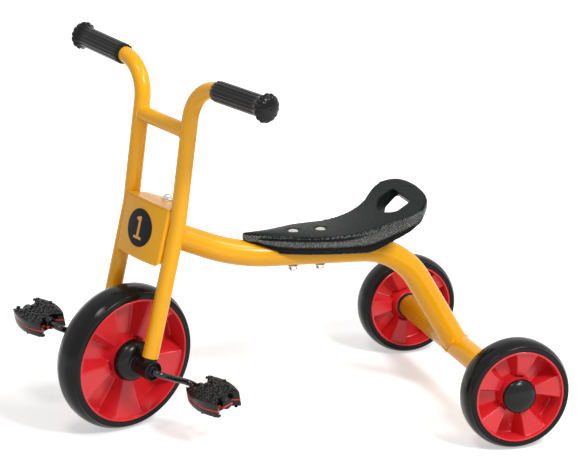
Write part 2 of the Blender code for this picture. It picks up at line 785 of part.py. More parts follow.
def make_grip(side, name):
    corner = Vector(leg_path(side)[2])
    along = GRIP_START - LEG_SPACING / 2
    start = corner + Vector((side * along, 0.0, along * math.tan(HANDLE_TILT)))
    place = Matrix.Translation(start) @ Matrix.Rotation(side * (math.pi / 2 - HANDLE_TILT), 4, "Y")
    radius = GRIP_DIAMETER / 2
    bore = FORK_TUBE_DIAMETER / 2 + BORE_GAP
    bore_end = HANDLE_REACH - GRIP_START + SEAT_GAP
    body_end = GRIP_LENGTH - GRIP_FLARE_LENGTH
    ball = [
        (GRIP_FLARE_DIAMETER / 2 * share, GRIP_LENGTH - GRIP_DOME_HEIGHT * drop) for share, drop in GRIP_BALL
    ]
    profile = ball + [
        (radius, body_end),
        (radius, 0.0),
        (bore, 0.0),
        (bore, bore_end),
        (0.0, bore_end),
    ]
    grip = turned("grip_" + name, profile, 2 * GRIP_RIBS)
    for vert in grip.data.vertices:
        ring = math.hypot(vert.co.x, vert.co.y)
        if abs(ring - radius) < 1e-6:
            rib = math.cos(GRIP_RIBS * math.atan2(vert.co.y, vert.co.x))
            vert.co.xy *= 1 + GRIP_RIB_HEIGHT / radius * (rib - 1) / 2
    put(grip, FORK, place, black_plastic(grip.name + "_black"))


def bracket_bow(across):
    """How far the bowed front of the bracket stands back from its middle."""
    return BRACKET_BOW_DEPTH * (across / BRACKET_HALF) ** 2


def bracket_side_end():
    """Where the pan's side meets the front of the leg, at the height where the leg leans most."""
    lean = (BRACKET_TOP - LEG_KINK_HEIGHT) * math.tan(LEG_KINK_ANGLE)
    reach = FORK_TUBE_DIAMETER / 2 + SEAT_GAP
    return -STEER_OFFSET - lean - math.sqrt(reach**2 - BRACKET_LAP**2)


def bracket_front_line(offset):
    """The left half of the bracket's front in plan, from the leg to the middle, inset by the offset."""
    radius = BRACKET_EDGE_RADIUS
    start = BRACKET_HALF - radius
    middle = -BRACKET_FRONT + bracket_bow(start) + radius
    reach = radius - offset
    points = [(BRACKET_HALF - offset, bracket_side_end())]
    for step in range(BRACKET_EDGE_STEPS + 1):
        angle = math.pi / 2 * step / BRACKET_EDGE_STEPS
        points.append((start + reach * math.cos(angle), middle - reach * math.sin(angle)))
    for step in range(1, BRACKET_BOW_STEPS):
        across = start * (1 - step / BRACKET_BOW_STEPS)
        points.append((across, -BRACKET_FRONT + bracket_bow(across) + offset))
    return points


def bracket_plate_outline(offset):
    """Top and bottom plates: they follow the front, step in between the legs and taper to the rear."""
    inner = LEG_SPACING / 2 - FORK_TUBE_DIAMETER / 2 - SEAT_GAP
    notch = bracket_side_end() + (BRACKET_HALF - inner) * BRACKET_NOTCH_SLOPE
    half_outline = [(BRACKET_REAR_HALF, BRACKET_REAR), (inner, BRACKET_SIDE_REAR), (inner, notch)]
    half_outline += bracket_front_line(offset)
    middle = [(0.0, -BRACKET_FRONT + offset)]
    return half_outline + middle + [(-x, y) for x, y in reversed(half_outline)]


def make_bracket():
    height = BRACKET_TOP - BRACKET_SHEET - SEAT_GAP - BRACKET_BOTTOM
    outside = bracket_front_line(0.0)
    inside = bracket_front_line(BRACKET_SHEET)
    outline = outside + [(0.0, -BRACKET_FRONT)] + [(-x, y) for x, y in reversed(outside)]
    outline += [(-x, y) for x, y in inside] + [(0.0, -BRACKET_FRONT + BRACKET_SHEET)] + inside[::-1]
    pan = plate("bracket_front", outline, height)
    put(pan, FORK, shift(z=BRACKET_BOTTOM + height / 2), paint("bracket_front_paint"))
    trim = plate("cut_bracket_corners", bracket_trim_outline(), BRACKET_FRONT * 4, cutter=True)
    place_cutter(trim, FORK, shift(z=BRACKET_BOTTOM) @ Matrix.Rotation(math.pi / 2, 4, "X"))
    combine(pan, trim)
    bolt_hole = rod("cut_king_bolt", KING_BOLT_DIAMETER / 2 + BORE_GAP, BRACKET_TOP, 20, cutter=True)
    place_cutter(bolt_hole, FORK, shift(z=(BRACKET_TOP + BRACKET_BOTTOM) / 2))
    for name, offset, middle in (
        ("bracket_top", 0.0, BRACKET_TOP - BRACKET_SHEET / 2),
        ("bracket_bottom", BRACKET_SHEET + SEAT_GAP, BRACKET_FLOOR - BRACKET_SHEET / 2),
    ):
        flat = plate(name, bracket_plate_outline(offset), BRACKET_SHEET)
        put(flat, FORK, shift(z=middle), paint(name + "_paint"))
        combine(flat, bolt_hole)
    make_badge()


def make_badge():
    """The number disc, laid on the bowed front."""
    top, edge = BADGE_THICKNESS / 2, BADGE_DIAMETER / 2
    face = [(edge * ring / BADGE_RINGS, top) for ring in range(BADGE_RINGS + 1)]
    profile = face + [(radius, -height) for radius, height in reversed(face)]
    badge = turned("number_disc", profile, BADGE_STEPS)
    for vert in badge.data.vertices:
        vert.co.z += bracket_bow(vert.co.x)
    front = -BRACKET_FRONT - SEAT_GAP - top
    put(badge, FORK, along_y(0.0, front, BADGE_HEIGHT), finish("number_disc_ink", INK, 0.4))


def bracket_trim_outline():
    """The waste below the front pan: its lower edge is bowed and its lower corners are round."""
    half = LEG_SPACING / 2
    edge = []
    for step in range(BRACKET_TRIM_STEPS + 1):
        across = -half + 2 * half * step / BRACKET_TRIM_STEPS
        share = abs(across / BRACKET_HALF)
        lift = BRACKET_LOWER_BOW * share**2 + BRACKET_CORNER_LIFT * share**BRACKET_CORNER_POWER
        edge.append((across, lift))
    return edge + [(half, -BRACKET_FRONT), (-half, -BRACKET_FRONT)]


def round_bar_profile(radius, length):
    return [(0.0, length / 2), (radius, length / 2), (radius, -length / 2), (0.0, -length / 2)]


def ring_profile(radius, bore, length):
    return [(bore, length / 2), (radius, length / 2), (radius, -length / 2), (bore, -length / 2)]


def make_head():
    """Head tube and its two bushes belong to the frame, the king bolt and its nut to the fork."""
    bottom = BRACKET_FLOOR + SEAT_GAP
    top = BRACKET_TOP - BRACKET_SHEET - SEAT_GAP
    length = top - bottom - 2 * (BUSH_FLANGE + SEAT_GAP)
    middle = (top + bottom) / 2
    radius = HEAD_TUBE_DIAMETER / 2
    head = turned("head_tube", ring_profile(radius, radius - HEAD_TUBE_WALL, length), RING_STEPS)
    put(head, HEAD, shift(z=middle), paint("head_tube_paint"))
    bore = KING_BOLT_DIAMETER / 2 + RUN_GAP
    sleeve = radius - HEAD_TUBE_WALL - BORE_GAP
    for name, face, up in (("head_bush_top", top, 1), ("head_bush_bottom", bottom, -1)):
        profile = [
            (bore, 0.0),
            (BUSH_FLANGE_DIAMETER / 2, 0.0),
            (BUSH_FLANGE_DIAMETER / 2, -BUSH_FLANGE),
            (sleeve, -BUSH_FLANGE),
            (sleeve, -BUSH_FLANGE - BUSH_DEPTH),
            (bore, -BUSH_FLANGE - BUSH_DEPTH),
        ]
        bush = turned(name, profile, RING_STEPS)
        flip = Matrix.Rotation(0.0 if up > 0 else math.pi, 4, "X")
        put(bush, HEAD, shift(z=face) @ flip, black_plastic(name + "_black"))
    make_king_bolt()


def make_king_bolt():
    shank = KING_BOLT_DIAMETER / 2
    nut_flats = KING_BOLT_DIAMETER * NUT_FLATS_RATIO
    head_height = KING_BOLT_DIAMETER * BOLT_HEAD_RATIO
    foot = BRACKET_FLOOR - BRACKET_SHEET - SEAT_GAP
    bolt_top = BRACKET_TOP + KING_NUT_HEIGHT * KING_NUT_FILL
    bolt = hex_prism("king_bolt", nut_flats, head_height)
    put(bolt, FORK, shift(z=foot - head_height / 2), bright_steel("king_bolt_steel"))
    bar = rod("cut_king_shank", shank, bolt_top - foot + head_height / 2, 20, cutter=True)
    place_cutter(bar, FORK, shift(z=(bolt_top + foot - head_height / 2) / 2))
    combine(bolt, bar, "UNION")
    radius = nut_flats / 2
    skirt = KING_NUT_HEIGHT * KING_NUT_SKIRT
    hollow = bolt_top - BRACKET_TOP
    profile = [(0.0, KING_NUT_HEIGHT)]
    for angle in np.radians(KING_NUT_ANGLES):
        rise = skirt + (KING_NUT_HEIGHT - skirt) * math.sin(angle)
        profile.append((radius * KING_NUT_DOME * math.cos(angle), rise))
    bore = shank + BORE_GAP
    profile += [(radius, skirt), (radius, 0.0), (bore, 0.0), (bore, hollow), (0.0, hollow)]
    nut = turned("king_nut", profile, 18)
    put(nut, FORK, shift(z=BRACKET_TOP + SEAT_GAP), bright_steel("king_nut_steel"))


def level_height(y):
    """Height of the tube's middle line in its level part under the saddle."""
    return MAIN_SADDLE_HEIGHT - (y - MAIN_SADDLE_MIDDLE) * math.tan(MAIN_SADDLE_SLOPE)


def main_path():
    """From the head down to the level part, along it, then down to the rear axle."""
    top = HEAD_FOOT + RAKE.to_3x3() @ Vector((0.0, 0.0, MAIN_HEAD_RISE))
    front = top.y + MAIN_FRONT_REACH
    rear = -MAIN_REAR_REACH
    corners = [
        tuple(top),
        (0.0, front, level_height(front)),
        (0.0, rear, level_height(rear)),
        (0.0, 0.0, REAR_AXLE_HEIGHT),
    ]
    return filleted(corners, [MAIN_FRONT_RADIUS, MAIN_REAR_RADIUS], MAIN_BEND_STEPS)


def make_main_tube():
    backbone = tube("main_tube", main_path(), MAIN_TUBE_DIAMETER, 6)
    put(backbone, ORIGIN, shift(), paint("main_tube_paint"))
    head = rod("cut_head_cope", HEAD_TUBE_DIAMETER / 2 + COPE_GAP, BRACKET_TOP, RING_STEPS, cutter=True)
    place_cutter(head, HEAD, shift(z=(BRACKET_TOP + BRACKET_BOTTOM) / 2))
    combine(backbone, head)
    cope_radius = AXLE_TUBE_DIAMETER / 2 + COPE_GAP
    axle = rod("cut_axle_cope", cope_radius, 2 * AXLE_TUBE_DIAMETER, RING_STEPS, cutter=True)
    place_cutter(axle, ORIGIN, along_x(z=REAR_AXLE_HEIGHT))
    combine(backbone, axle)
    return backbone


def make_rear_axle():
    face = REAR_TRACK / 2 - REAR_HUB_HEIGHT - RUN_GAP
    tube_end = face - PLUG_FLANGE - SEAT_GAP
    radius = AXLE_TUBE_DIAMETER / 2
    shell = turned("rear_axle_tube", ring_profile(radius, radius - AXLE_TUBE_WALL, 2 * tube_end), RING_STEPS)
    put(shell, ORIGIN, along_x(z=REAR_AXLE_HEIGHT), paint("rear_axle_tube_paint"))
    bore = AXLE_DIAMETER / 2 + BORE_GAP
    sleeve = radius - AXLE_TUBE_WALL - BORE_GAP
    for side, name in SIDES:
        flange = PLUG_FLANGE_DIAMETER / 2
        profile = [
            (bore, 0.0),
            (flange - PLUG_CHAMFER, 0.0),
            (flange, -PLUG_CHAMFER),
            (flange, -PLUG_FLANGE),
            (sleeve, -PLUG_FLANGE),
            (sleeve, -PLUG_FLANGE - PLUG_DEPTH),
            (bore, -PLUG_FLANGE - PLUG_DEPTH),
        ]
        plug = turned("axle_plug_" + name, profile, RING_STEPS)
        place = along_x(side * face, z=REAR_AXLE_HEIGHT, side=side)
        put(plug, ORIGIN, place, black_plastic(plug.name + "_black"))
    length = REAR_TRACK + 2 * (REAR_HUB_HEIGHT + RUN_GAP + PUSH_NUT_THICKNESS + AXLE_STICKOUT)
    axle = rod("rear_axle", AXLE_DIAMETER / 2, length, 20)
    put(axle, ORIGIN, along_x(z=REAR_AXLE_HEIGHT), bright_steel("rear_axle_steel"))


def saddle_top(y):
    """Height of the saddle's middle line: level, then an arc, then a straight slope, with a lifted nose."""
    run = max(y - SADDLE_RISE_START, 0.0)
    turn = SADDLE_RISE_RADIUS * math.sin(SADDLE_RISE_ANGLE)
    arc = min(run, turn)
    height = SADDLE_TOP + SADDLE_RISE_RADIUS - math.sqrt(SADDLE_RISE_RADIUS**2 - arc**2)
    height += max(run - turn, 0.0) * math.tan(SADDLE_RISE_ANGLE)
    nose = max(1 - (y - SADDLE_NOSE) / SADDLE_NOSE_REACH, 0.0)
    return height + SADDLE_NOSE_LIFT * nose**2


def saddle_ring(distance, width_at, lower_at):
    """One closed cross-section of the saddle, swept back toward the middle near its tail."""
    length = SADDLE_TAIL - SADDLE_NOSE
    width = width_at(distance)
    tuck = min(SADDLE_SIDE_TUCK, width * SHOULDER_SHARE)
    near_tail = max(1 - (length - distance) / SADDLE_TAIL_SWEEP_LENGTH, 0.0)
    sweep = SADDLE_TAIL_SWEEP * near_tail**SADDLE_SWEEP_POWER
    crown = SADDLE_CROWN * (1 - distance / length)
    top_row, under = [], []
    for share in SADDLE_SHARES:
        y = SADDLE_NOSE + distance - sweep * share**2
        top = saddle_top(y) - crown * share**2
        low = min(SADDLE_TOP + lower_at(y - SADDLE_NOSE), top - SADDLE_TAIL_EDGE)
        top_row.append(Vector((share * width, y, top)))
        under.append(Vector((share * (width - tuck), y, low)))
    edge = top_row[-1]
    shoulder = Vector((width + tuck / 2, edge.y, edge.z + (under[-1].z - edge.z) * SHOULDER_SHARE))
    right = top_row + [shoulder] + list(reversed(under))
    return right + [Vector((-p.x, p.y, p.z)) for p in reversed(right) if p.x > 0]


def make_saddle(backbone):
    width_at = smooth_through(SADDLE_WIDTHS)
    lower_at = smooth_through(SADDLE_LOWER)
    length = SADDLE_TAIL - SADDLE_NOSE
    rings = [
        saddle_ring(length * step / SADDLE_STEPS, width_at, lower_at)
        for step in range(SADDLE_STEPS + 1)
    ]
    saddle = smooth(loft("saddle", rings), math.radians(40))
    put(saddle, ORIGIN, shift(), black_plastic("saddle_grained"))
    channel = tube("cut_saddle_channel", main_path(), MAIN_TUBE_DIAMETER + 2 * SEAT_GAP, 6, cutter=True)
    place_cutter(channel, ORIGIN, shift())
    combine(saddle, channel)
    hole = plate("cut_grab_hole", grab_outline(), 4 * GRAB_DEPTH, cutter=True)
    front = GRAB_REAR - GRAB_DEPTH * math.cos(GRAB_ANGLE)
    middle = (GRAB_REAR + front) / 2
    place_cutter(hole, ORIGIN, shift(y=middle, z=saddle_top(middle)) @ Matrix.Rotation(GRAB_ANGLE, 4, "X"))
    combine(saddle, hole)
    for y, name in zip(SADDLE_BOLTS, ("front", "rear")):
        make_saddle_bolt(saddle, backbone, y, name)


def grab_outline():
    """A straight rear edge and a bowed front edge, with round corners between them."""
    half = GRAB_HALF_WIDTH
    rear = GRAB_DEPTH / 2
    radius = GRAB_CORNER
    points = []
    for side in (1, -1):
        for step in range(4):
            share = step / 3
            angle = math.pi / 2 * (share if side > 0 else 1 + share)
            middle = side * (half - radius)
            points.append((middle + radius * math.cos(angle), rear - radius + radius * math.sin(angle)))
    bow = []
    for step in range(GRAB_BOW_STEPS + 1):
        across = -half + 2 * half * step / GRAB_BOW_STEPS
        bow.append((across, -rear + GRAB_BOW * (across / half) ** 2))
    return points + bow


def make_saddle_bolt(saddle, backbone, y, name):
    top = saddle_top(y)
    floor = top - RECESS_DEPTH
    shank = SADDLE_BOLT_DIAMETER / 2
    recess = rod("cut_recess_" + name, RECESS_DIAMETER / 2, 2 * RECESS_DEPTH, 20, cutter=True)
    place_cutter(recess, ORIGIN, shift(y=y, z=top))
    combine(saddle, recess)
    hole = rod("cut_saddle_bolt_" + name, shank + BORE_GAP, 3 * MAIN_TUBE_DIAMETER, SMALL_STEPS, cutter=True)
    place_cutter(hole, ORIGIN, shift(y=y, z=MAIN_SADDLE_HEIGHT))
    combine(saddle, hole)
    combine(backbone, hole)
    nut_top = level_height(y) - MAIN_TUBE_DIAMETER / 2 - 2 * SEAT_GAP
    height = SADDLE_BOLT_DIAMETER * NUT_HEIGHT_RATIO
    nut = hex_prism("saddle_nut_" + name, SADDLE_BOLT_DIAMETER * NUT_FLATS_RATIO, height)
    put(nut, ORIGIN, shift(y=y, z=nut_top - height / 2), bright_steel(nut.name + "_steel"))
    combine(nut, hole)
    head = RECESS_DIAMETER / 2 - SADDLE_HEAD_GAP
    foot = nut_top - height - SADDLE_BOLT_STICKOUT
    profile = headed_profile(head, SADDLE_HEAD_HEIGHT, shank, foot - floor)
    bolt = turned("saddle_bolt_" + name, profile, 18)
    put(bolt, ORIGIN, shift(y=y, z=floor + SEAT_GAP), bright_steel(bolt.name + "_steel"))


def stand_at_origin():
    """Moves the whole object so that the middle of its base is at the world origin."""
    bpy.context.view_layer.update()
    graph = bpy.context.evaluated_depsgraph_get()
    low, high = np.full(3, np.inf), np.full(3, -np.inf)
    for obj in PARTS.objects:
        if obj.type != "MESH":
            continue
        solid = obj.evaluated_get(graph)
        for vert in solid.data.vertices:
            point = np.array(solid.matrix_world @ vert.co)
            low, high = np.minimum(low, point), np.maximum(high, point)
    ORIGIN.location = (-(low[0] + high[0]) / 2, -(low[1] + high[1]) / 2, -low[2])
    bpy.context.view_layer.update()


def make_sides():
    for side, name in SIDES:
        make_rear_wheel(side, name)
        make_pedal(side, name)
        make_leg(side, name)
        make_grip(side, name)


make_sides()
make_front_wheel()
make_crank_rod()
make_cross_tube()
make_bracket()
make_head()
make_rear_axle()
make_saddle(make_main_tube())
stand_at_origin()
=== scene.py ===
"""The looks of a small nursery tricycle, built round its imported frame.

Metres, +Z up, +X to the rider's left, -Y forward. Each piece is a surface on a grid of two
parameters, worked out in the piece's own axes and then carried to its place in the frame."""

import json
import math

import bmesh
import bpy
import numpy as np
from mathutils import Matrix, Vector


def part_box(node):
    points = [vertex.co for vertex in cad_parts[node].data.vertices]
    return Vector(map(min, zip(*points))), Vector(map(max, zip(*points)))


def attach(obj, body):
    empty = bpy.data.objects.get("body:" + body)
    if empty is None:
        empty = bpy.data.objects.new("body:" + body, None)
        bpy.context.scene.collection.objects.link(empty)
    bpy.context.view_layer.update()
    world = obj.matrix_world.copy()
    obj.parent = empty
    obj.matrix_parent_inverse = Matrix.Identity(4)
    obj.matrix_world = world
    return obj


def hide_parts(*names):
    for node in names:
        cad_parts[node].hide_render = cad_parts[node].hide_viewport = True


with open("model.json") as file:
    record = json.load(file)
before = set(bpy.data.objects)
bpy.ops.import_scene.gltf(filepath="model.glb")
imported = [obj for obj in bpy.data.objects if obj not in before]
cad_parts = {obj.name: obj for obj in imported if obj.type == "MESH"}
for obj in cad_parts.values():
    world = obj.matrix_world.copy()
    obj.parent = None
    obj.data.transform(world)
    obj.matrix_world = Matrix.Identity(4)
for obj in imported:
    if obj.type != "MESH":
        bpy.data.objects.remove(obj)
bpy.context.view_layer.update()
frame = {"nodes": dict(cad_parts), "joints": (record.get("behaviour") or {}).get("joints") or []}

# Camera, solved from the photograph, as offsets from the rear axle's middle on the ground
CAMERA_PLACE = (3.11580, -1.28193, 1.19938)
CAMERA_RIGHT = (0.30192, 0.95319, 0.01677)
CAMERA_BACK = (0.91718, -0.29522, 0.26761)
CAMERA_LENS = 134.95
SENSOR_WIDTH = 36.0

# Light: name, place, width and power of each lamp, then the even levels of world and floor
LAMPS = (
    ("key", (2.2, 0.9, 2.25), 0.70, 56.0),
    ("overhead rear", (0.75, 1.20, 2.25), 0.55, 13.0),
    ("overhead front", (0.90, -0.80, 2.25), 0.55, 13.0),
)
LAMP_TARGET = (0.0, 0.0, 0.25)
WORLD_LEVEL = 0.24
PAPER_GLOW = 0.5
FLOOR_REACH = 6.0

# Fork and handlebar, in the fork's own axes
FORK_TUBE_RADIUS = 0.0125
FORK_LEG_HALF_SPACING = 0.0595
FORK_LEG_FOOT = 0.0185
FORK_KINK_HEIGHT = 0.2286
FORK_KINK_ANGLE = math.radians(6.44)
FORK_KINK_RADIUS = 0.120
HANDLE_RISE = 0.2128
HANDLE_BEND_RADIUS = 0.057
HANDLE_TILT = math.radians(1.8)
HANDLE_REACH = 0.224
CROSS_TUBE_RADIUS = 0.01175
CROSS_TUBE_RISE = 0.1395
FRONT_AXLE_REAR = 0.020
GRIP_START = 0.1145
GRIP_LENGTH = 0.1225
GRIP_RADIUS = 0.0160
GRIP_FLARE_RADIUS = 0.0220
GRIP_BORE = 0.0126
GRIP_RIBS = 14

# Head bracket: a pressed pan in front of two cross plates
BRACKET_TOP = 0.2474
BRACKET_BOTTOM = 0.1600
BRACKET_FRONT = 0.0406
BRACKET_HALF_WIDTH = 0.0522
BRACKET_BOW = 0.0045
BRACKET_SHEET = 0.0026
BRACKET_FOLD = 0.0042
BADGE_ASIDE = -0.0020
BADGE_HEIGHT = 0.2030

# Backbone and rear axle: its height is given at a point before the axle, and it falls backward
MAIN_TUBE_RADIUS = 0.0200
MAIN_BEND_RADII = (0.300, 0.115)
MAIN_LEVEL = 0.2578
MAIN_LEVEL_BEFORE_AXLE = 0.2500
MAIN_FALL = math.radians(1.2)
MAIN_BEND_BEHIND_HEAD = 0.1208
MAIN_BEND_BEFORE_AXLE = 0.1042
HEAD_MOUTH = 0.2000
HEAD_TUBE_RADIUS = 0.0210
AXLE_TUBE_RADIUS = 0.0200
TUBE_BORE = 0.0175
REAR_WHEEL_SIDE = 0.2344
PATH_SPACING = 0.012

# Wheels, cranks and pedals
REAR_WEB_ANGLE = {"left": 8.0, "right": 106.0}
FRONT_WEB_ANGLE = 77.7
REAR_HUB_HALF = 0.0173
CRANK_PLANE = 0.0865
CRANK_BEND_RADIUS = 0.0120
CRANK_ROD_RADIUS = 0.0050
WEB_DEPTH = 0.0150
PEDAL_TILT = math.radians(25.2)
PEDAL_CENTRE = 0.1440
PEDAL_BOSS_RADIUS = 0.0094
PEDAL_BOSS_END = 0.0360


def unit(vector):
    return np.asarray(vector, float) / np.linalg.norm(vector)


class Place:
    """Axes and an origin that carry local points to the frame."""

    def __init__(self, origin, x_axis, z_axis):
        self.origin = np.asarray(origin, float)
        self.x = unit(x_axis)
        self.z = unit(z_axis - np.dot(z_axis, self.x) * self.x)
        self.y = np.cross(self.z, self.x)

    def __call__(self, points):
        axes = np.stack([self.x, self.y, self.z])
        return np.asarray(points, float) @ axes + self.origin

    def moved(self, x=0.0, y=0.0, z=0.0):
        return Place(self([x, y, z]), self.x, self.z)

    def turned(self, angle):
        """The same place, turned about its own X by an angle."""
        up = math.cos(angle) * self.z - math.sin(angle) * self.y
        return Place(self.origin, self.x, up)

    def upright(self):
        """The same place with its own Z as the axis to turn profiles about."""
        return Place(self.origin, self.z, self.x)


JOINTS = {joint["name"]: joint for joint in frame["joints"]}


def joint_place(name):
    return np.array(JOINTS[name]["pos_m"]), unit(JOINTS[name]["axis"])


STEER_FOOT, STEER_AXIS = joint_place("steering")
FRONT_CENTRE, FRONT_AXIS = joint_place("front_axle")
PEDAL_JOINT = {side: joint_place("pedal_spindle_" + side) for side in ("left", "right")}
REAR_CENTRE = {side: joint_place("rear_axle_" + side)[0] for side in ("left", "right")}
SIGN = {"left": 1.0, "right": -1.0}

CRANK_ARM = PEDAL_JOINT["left"][0] - FRONT_CENTRE
CRANK_LENGTH = float(np.linalg.norm(CRANK_ARM))
ROW = Place((0.0, 0.0, 0.0), np.array([1.0, 0.0, 0.0]), np.array([0.0, 0.0, 1.0]))
HEAD = Place(STEER_FOOT, ROW.x, STEER_AXIS)
FORK = Place(STEER_FOOT, FRONT_AXIS, STEER_AXIS)
FRONT = Place(FRONT_CENTRE, FRONT_AXIS, np.cross(FRONT_AXIS, CRANK_ARM))
REAR_AXLE_Y = float(REAR_CENTRE["left"][1])
REAR_AXLE_Z = float(REAR_CENTRE["left"][2])
REAR = ROW.moved(y=REAR_AXLE_Y, z=REAR_AXLE_Z)


# Points and outlines


def stacked(*parts):
    """The coordinates of points from arrays or numbers that are first spread to one shape."""
    return np.stack(np.broadcast_arrays(*parts), -1)


def about_x(height, radius, angle):
    """Points at a height along X and a radius from it, at each angle about it."""
    return stacked(height, radius * np.cos(angle), radius * np.sin(angle))


def quarter(steps, across, along, start=(0.0, 0.0), powers=(1.0, 1.0)):
    """A quarter of an ellipse about its start, from its side to its end: one reach times a power of
    the cosine of a quarter turn, and the other times a power of its sine."""
    turn = np.linspace(0, math.pi / 2, steps)
    return stacked(across * np.cos(turn) ** powers[0], along * np.sin(turn) ** powers[1]) + start


def mirrored(half, signs=(-1.0, 1.0), stop=None):
    """Half an outline that ends on the mirror line, then its mirror image back to the stop."""
    return np.concatenate([half, half[..., -2:stop:-1, :] * np.array(signs)], axis=-2)


def smooth_step(value):
    value = np.clip(value, 0.0, 1.0)
    return value * value * (3 - 2 * value)


def rounded(corners, radii, steps=6):
    """A path through the corners, with an arc of the given radius at each inner corner."""
    corners = np.asarray(corners, float)
    path = [corners[0]]
    for before, corner, after, radius in zip(corners, corners[1:], corners[2:], radii):
        back, ahead = unit(before - corner), unit(after - corner)
        half = math.acos(float(np.clip(back @ ahead, -1, 1))) / 2
        centre = corner + unit(back + ahead) * radius / math.sin(half)
        out_start = corner + back * radius / math.tan(half) - centre
        out_end = corner + ahead * radius / math.tan(half) - centre
        sweep = math.acos(float(np.clip(unit(out_start) @ unit(out_end), -1, 1)))
        share = np.linspace(0, 1, steps + 1)[:, None]
        mix = np.sin((1 - share) * sweep) * out_start + np.sin(share * sweep) * out_end
        path.extend(centre + mix / math.sin(sweep))
    path.append(corners[-1])
    return np.array(path)


def spread(path, spacing=PATH_SPACING):
    """The path with points added so that none is further from the next than the spacing."""
    pieces = [path[:1]]
    for start, end in zip(path, path[1:]):
        count = max(int(math.ceil(np.linalg.norm(end - start) / spacing)), 1)
        shares = np.linspace(0, 1, count + 1)[1:, None]
        pieces.append(start + (end - start) * shares)
    return np.concatenate(pieces)


# Meshes


def linked(name, mesh):
    obj = bpy.data.objects.new(name, mesh)
    bpy.context.scene.collection.objects.link(obj)
    return obj


def mesh_from(name, points, faces):
    mesh = bpy.data.meshes.new(name)
    mesh.from_pydata(np.asarray(points, float).reshape(-1, 3).tolist(), [], faces)
    mesh.validate()
    return linked(name, mesh)


def grid_faces(rows, columns, wrap_rows, wrap_columns):
    """Quads between neighbouring points of a grid that is stored row by row."""
    i = np.arange(rows if wrap_rows else rows - 1)[:, None]
    j = np.arange(columns if wrap_columns else columns - 1)[None, :]
    i2, j2 = (i + 1) % rows, (j + 1) % columns
    quads = np.stack([i * columns + j, i * columns + j2, i2 * columns + j2, i2 * columns + j], -1)
    return quads.reshape(-1, 4).tolist()


def shaded(obj, sharp):
    """Smooth shading, with edges sharper than this many degrees kept crisp."""
    obj.data.shade_smooth()
    obj.data.set_sharp_from_angle(angle=math.radians(sharp))
    return obj


def clean(obj, sharp=32.0):
    """Merges the doubled points at seams and poles, turns all faces outward and shades them smooth."""
    bm = bmesh.new()
    bm.from_mesh(obj.data)
    bmesh.ops.remove_doubles(bm, verts=bm.verts, dist=2e-6)
    bmesh.ops.dissolve_degenerate(bm, edges=bm.edges, dist=1e-7)
    bmesh.ops.recalc_face_normals(bm, faces=bm.faces)
    bm.to_mesh(obj.data)
    bm.free()
    return shaded(obj, sharp)


def surface(name, grid, place=ROW, wrap_rows=False, wrap_columns=True, sharp=32.0):
    """One piece from a (rows, columns, 3) grid of local points."""
    rows, columns = grid.shape[:2]
    obj = mesh_from(name, place(grid.reshape(-1, 3)), grid_faces(rows, columns, wrap_rows, wrap_columns))
    return clean(obj, sharp)


def revolved(name, profile, place, steps=64, closed=False, sharp=32.0):
    """A profile of (radius, height) turned about the place's X axis, height running along X."""
    profile = np.asarray(profile, float)
    angle = np.linspace(0, 2 * math.pi, steps, endpoint=False)
    return surface(name, about_x(profile[:, 1:], profile[:, :1], angle), place, wrap_rows=closed, sharp=sharp)


def swept(name, path, radius, reference, place=ROW, sides=40):
    """A round bar: at each path point a circle of that point's radius stands square to the path,
    turned so that its first point lies along the reference direction. Both ends close to a point."""

    def doubled(rows):
        return np.concatenate([rows[:1], rows, rows[-1:]])[:, None, :]

    path = np.asarray(path, float)
    radius = np.broadcast_to(np.asarray(radius, float), len(path))
    tangent = np.gradient(path, axis=0)
    tangent /= np.linalg.norm(tangent, axis=1)[:, None]
    across = np.cross(tangent, np.asarray(reference, float))
    across /= np.linalg.norm(across, axis=1)[:, None]
    angle = np.linspace(0, 2 * math.pi, sides, endpoint=False)[:, None]
    ring = np.cos(angle) * doubled(across) + np.sin(angle) * doubled(np.cross(across, tangent))
    radius = np.concatenate([[0.0], radius, [0.0]])[:, None, None]
    return surface(name, doubled(path) + radius * ring, place)


def modified(obj, kind, **settings):
    """Adds a modifier of one kind with its settings."""
    change = obj.modifiers.new(kind.lower(), kind)
    for label, value in settings.items():
        setattr(change, label, value)


def prism(name, outline, low, high, place, bevel=0.0, segments=3, sharp=32.0):
    """A flat outline of (x, y) points between two heights, with its edges rounded."""
    outline = np.asarray(outline, float)
    count = len(outline)
    ends = [stacked(outline[:, 0], outline[:, 1], height) for height in (low, high)]
    faces = [list(range(count))[::-1], list(range(count, 2 * count))]
    faces += grid_faces(2, count, False, True)
    obj = clean(mesh_from(name, place(np.concatenate(ends)), faces), sharp)
    if bevel:
        modified(obj, "BEVEL", width=bevel, segments=segments, limit_method="ANGLE", angle_limit=math.radians(40))
    return obj


def applied(obj):
    """The object with its modifiers made part of its mesh."""
    bpy.context.view_layer.update()
    graph = bpy.context.evaluated_depsgraph_get()
    mesh = bpy.data.meshes.new_from_object(obj.evaluated_get(graph))
    obj.modifiers.clear()
    obj.data = mesh
    return obj


def joined(name, pieces):
    """One object from several that need no places of their own."""
    bm = bmesh.new()
    for piece in pieces:
        applied(piece)
        bm.from_mesh(piece.data)
        bpy.data.objects.remove(piece)
    mesh = bpy.data.meshes.new(name)
    bm.to_mesh(mesh)
    bm.free()
    return shaded(linked(name, mesh), 35)


def read_vertices(mesh, label):
    """A vector of every vertex, its place or its normal, as rows of three."""
    values = np.empty(len(mesh.vertices) * 3)
    mesh.vertices.foreach_get(label, values)
    return values.reshape(-1, 3)


# Materials

ROUGHNESS_SPREAD = 0.06
COAT_ROUGHNESS = 0.08

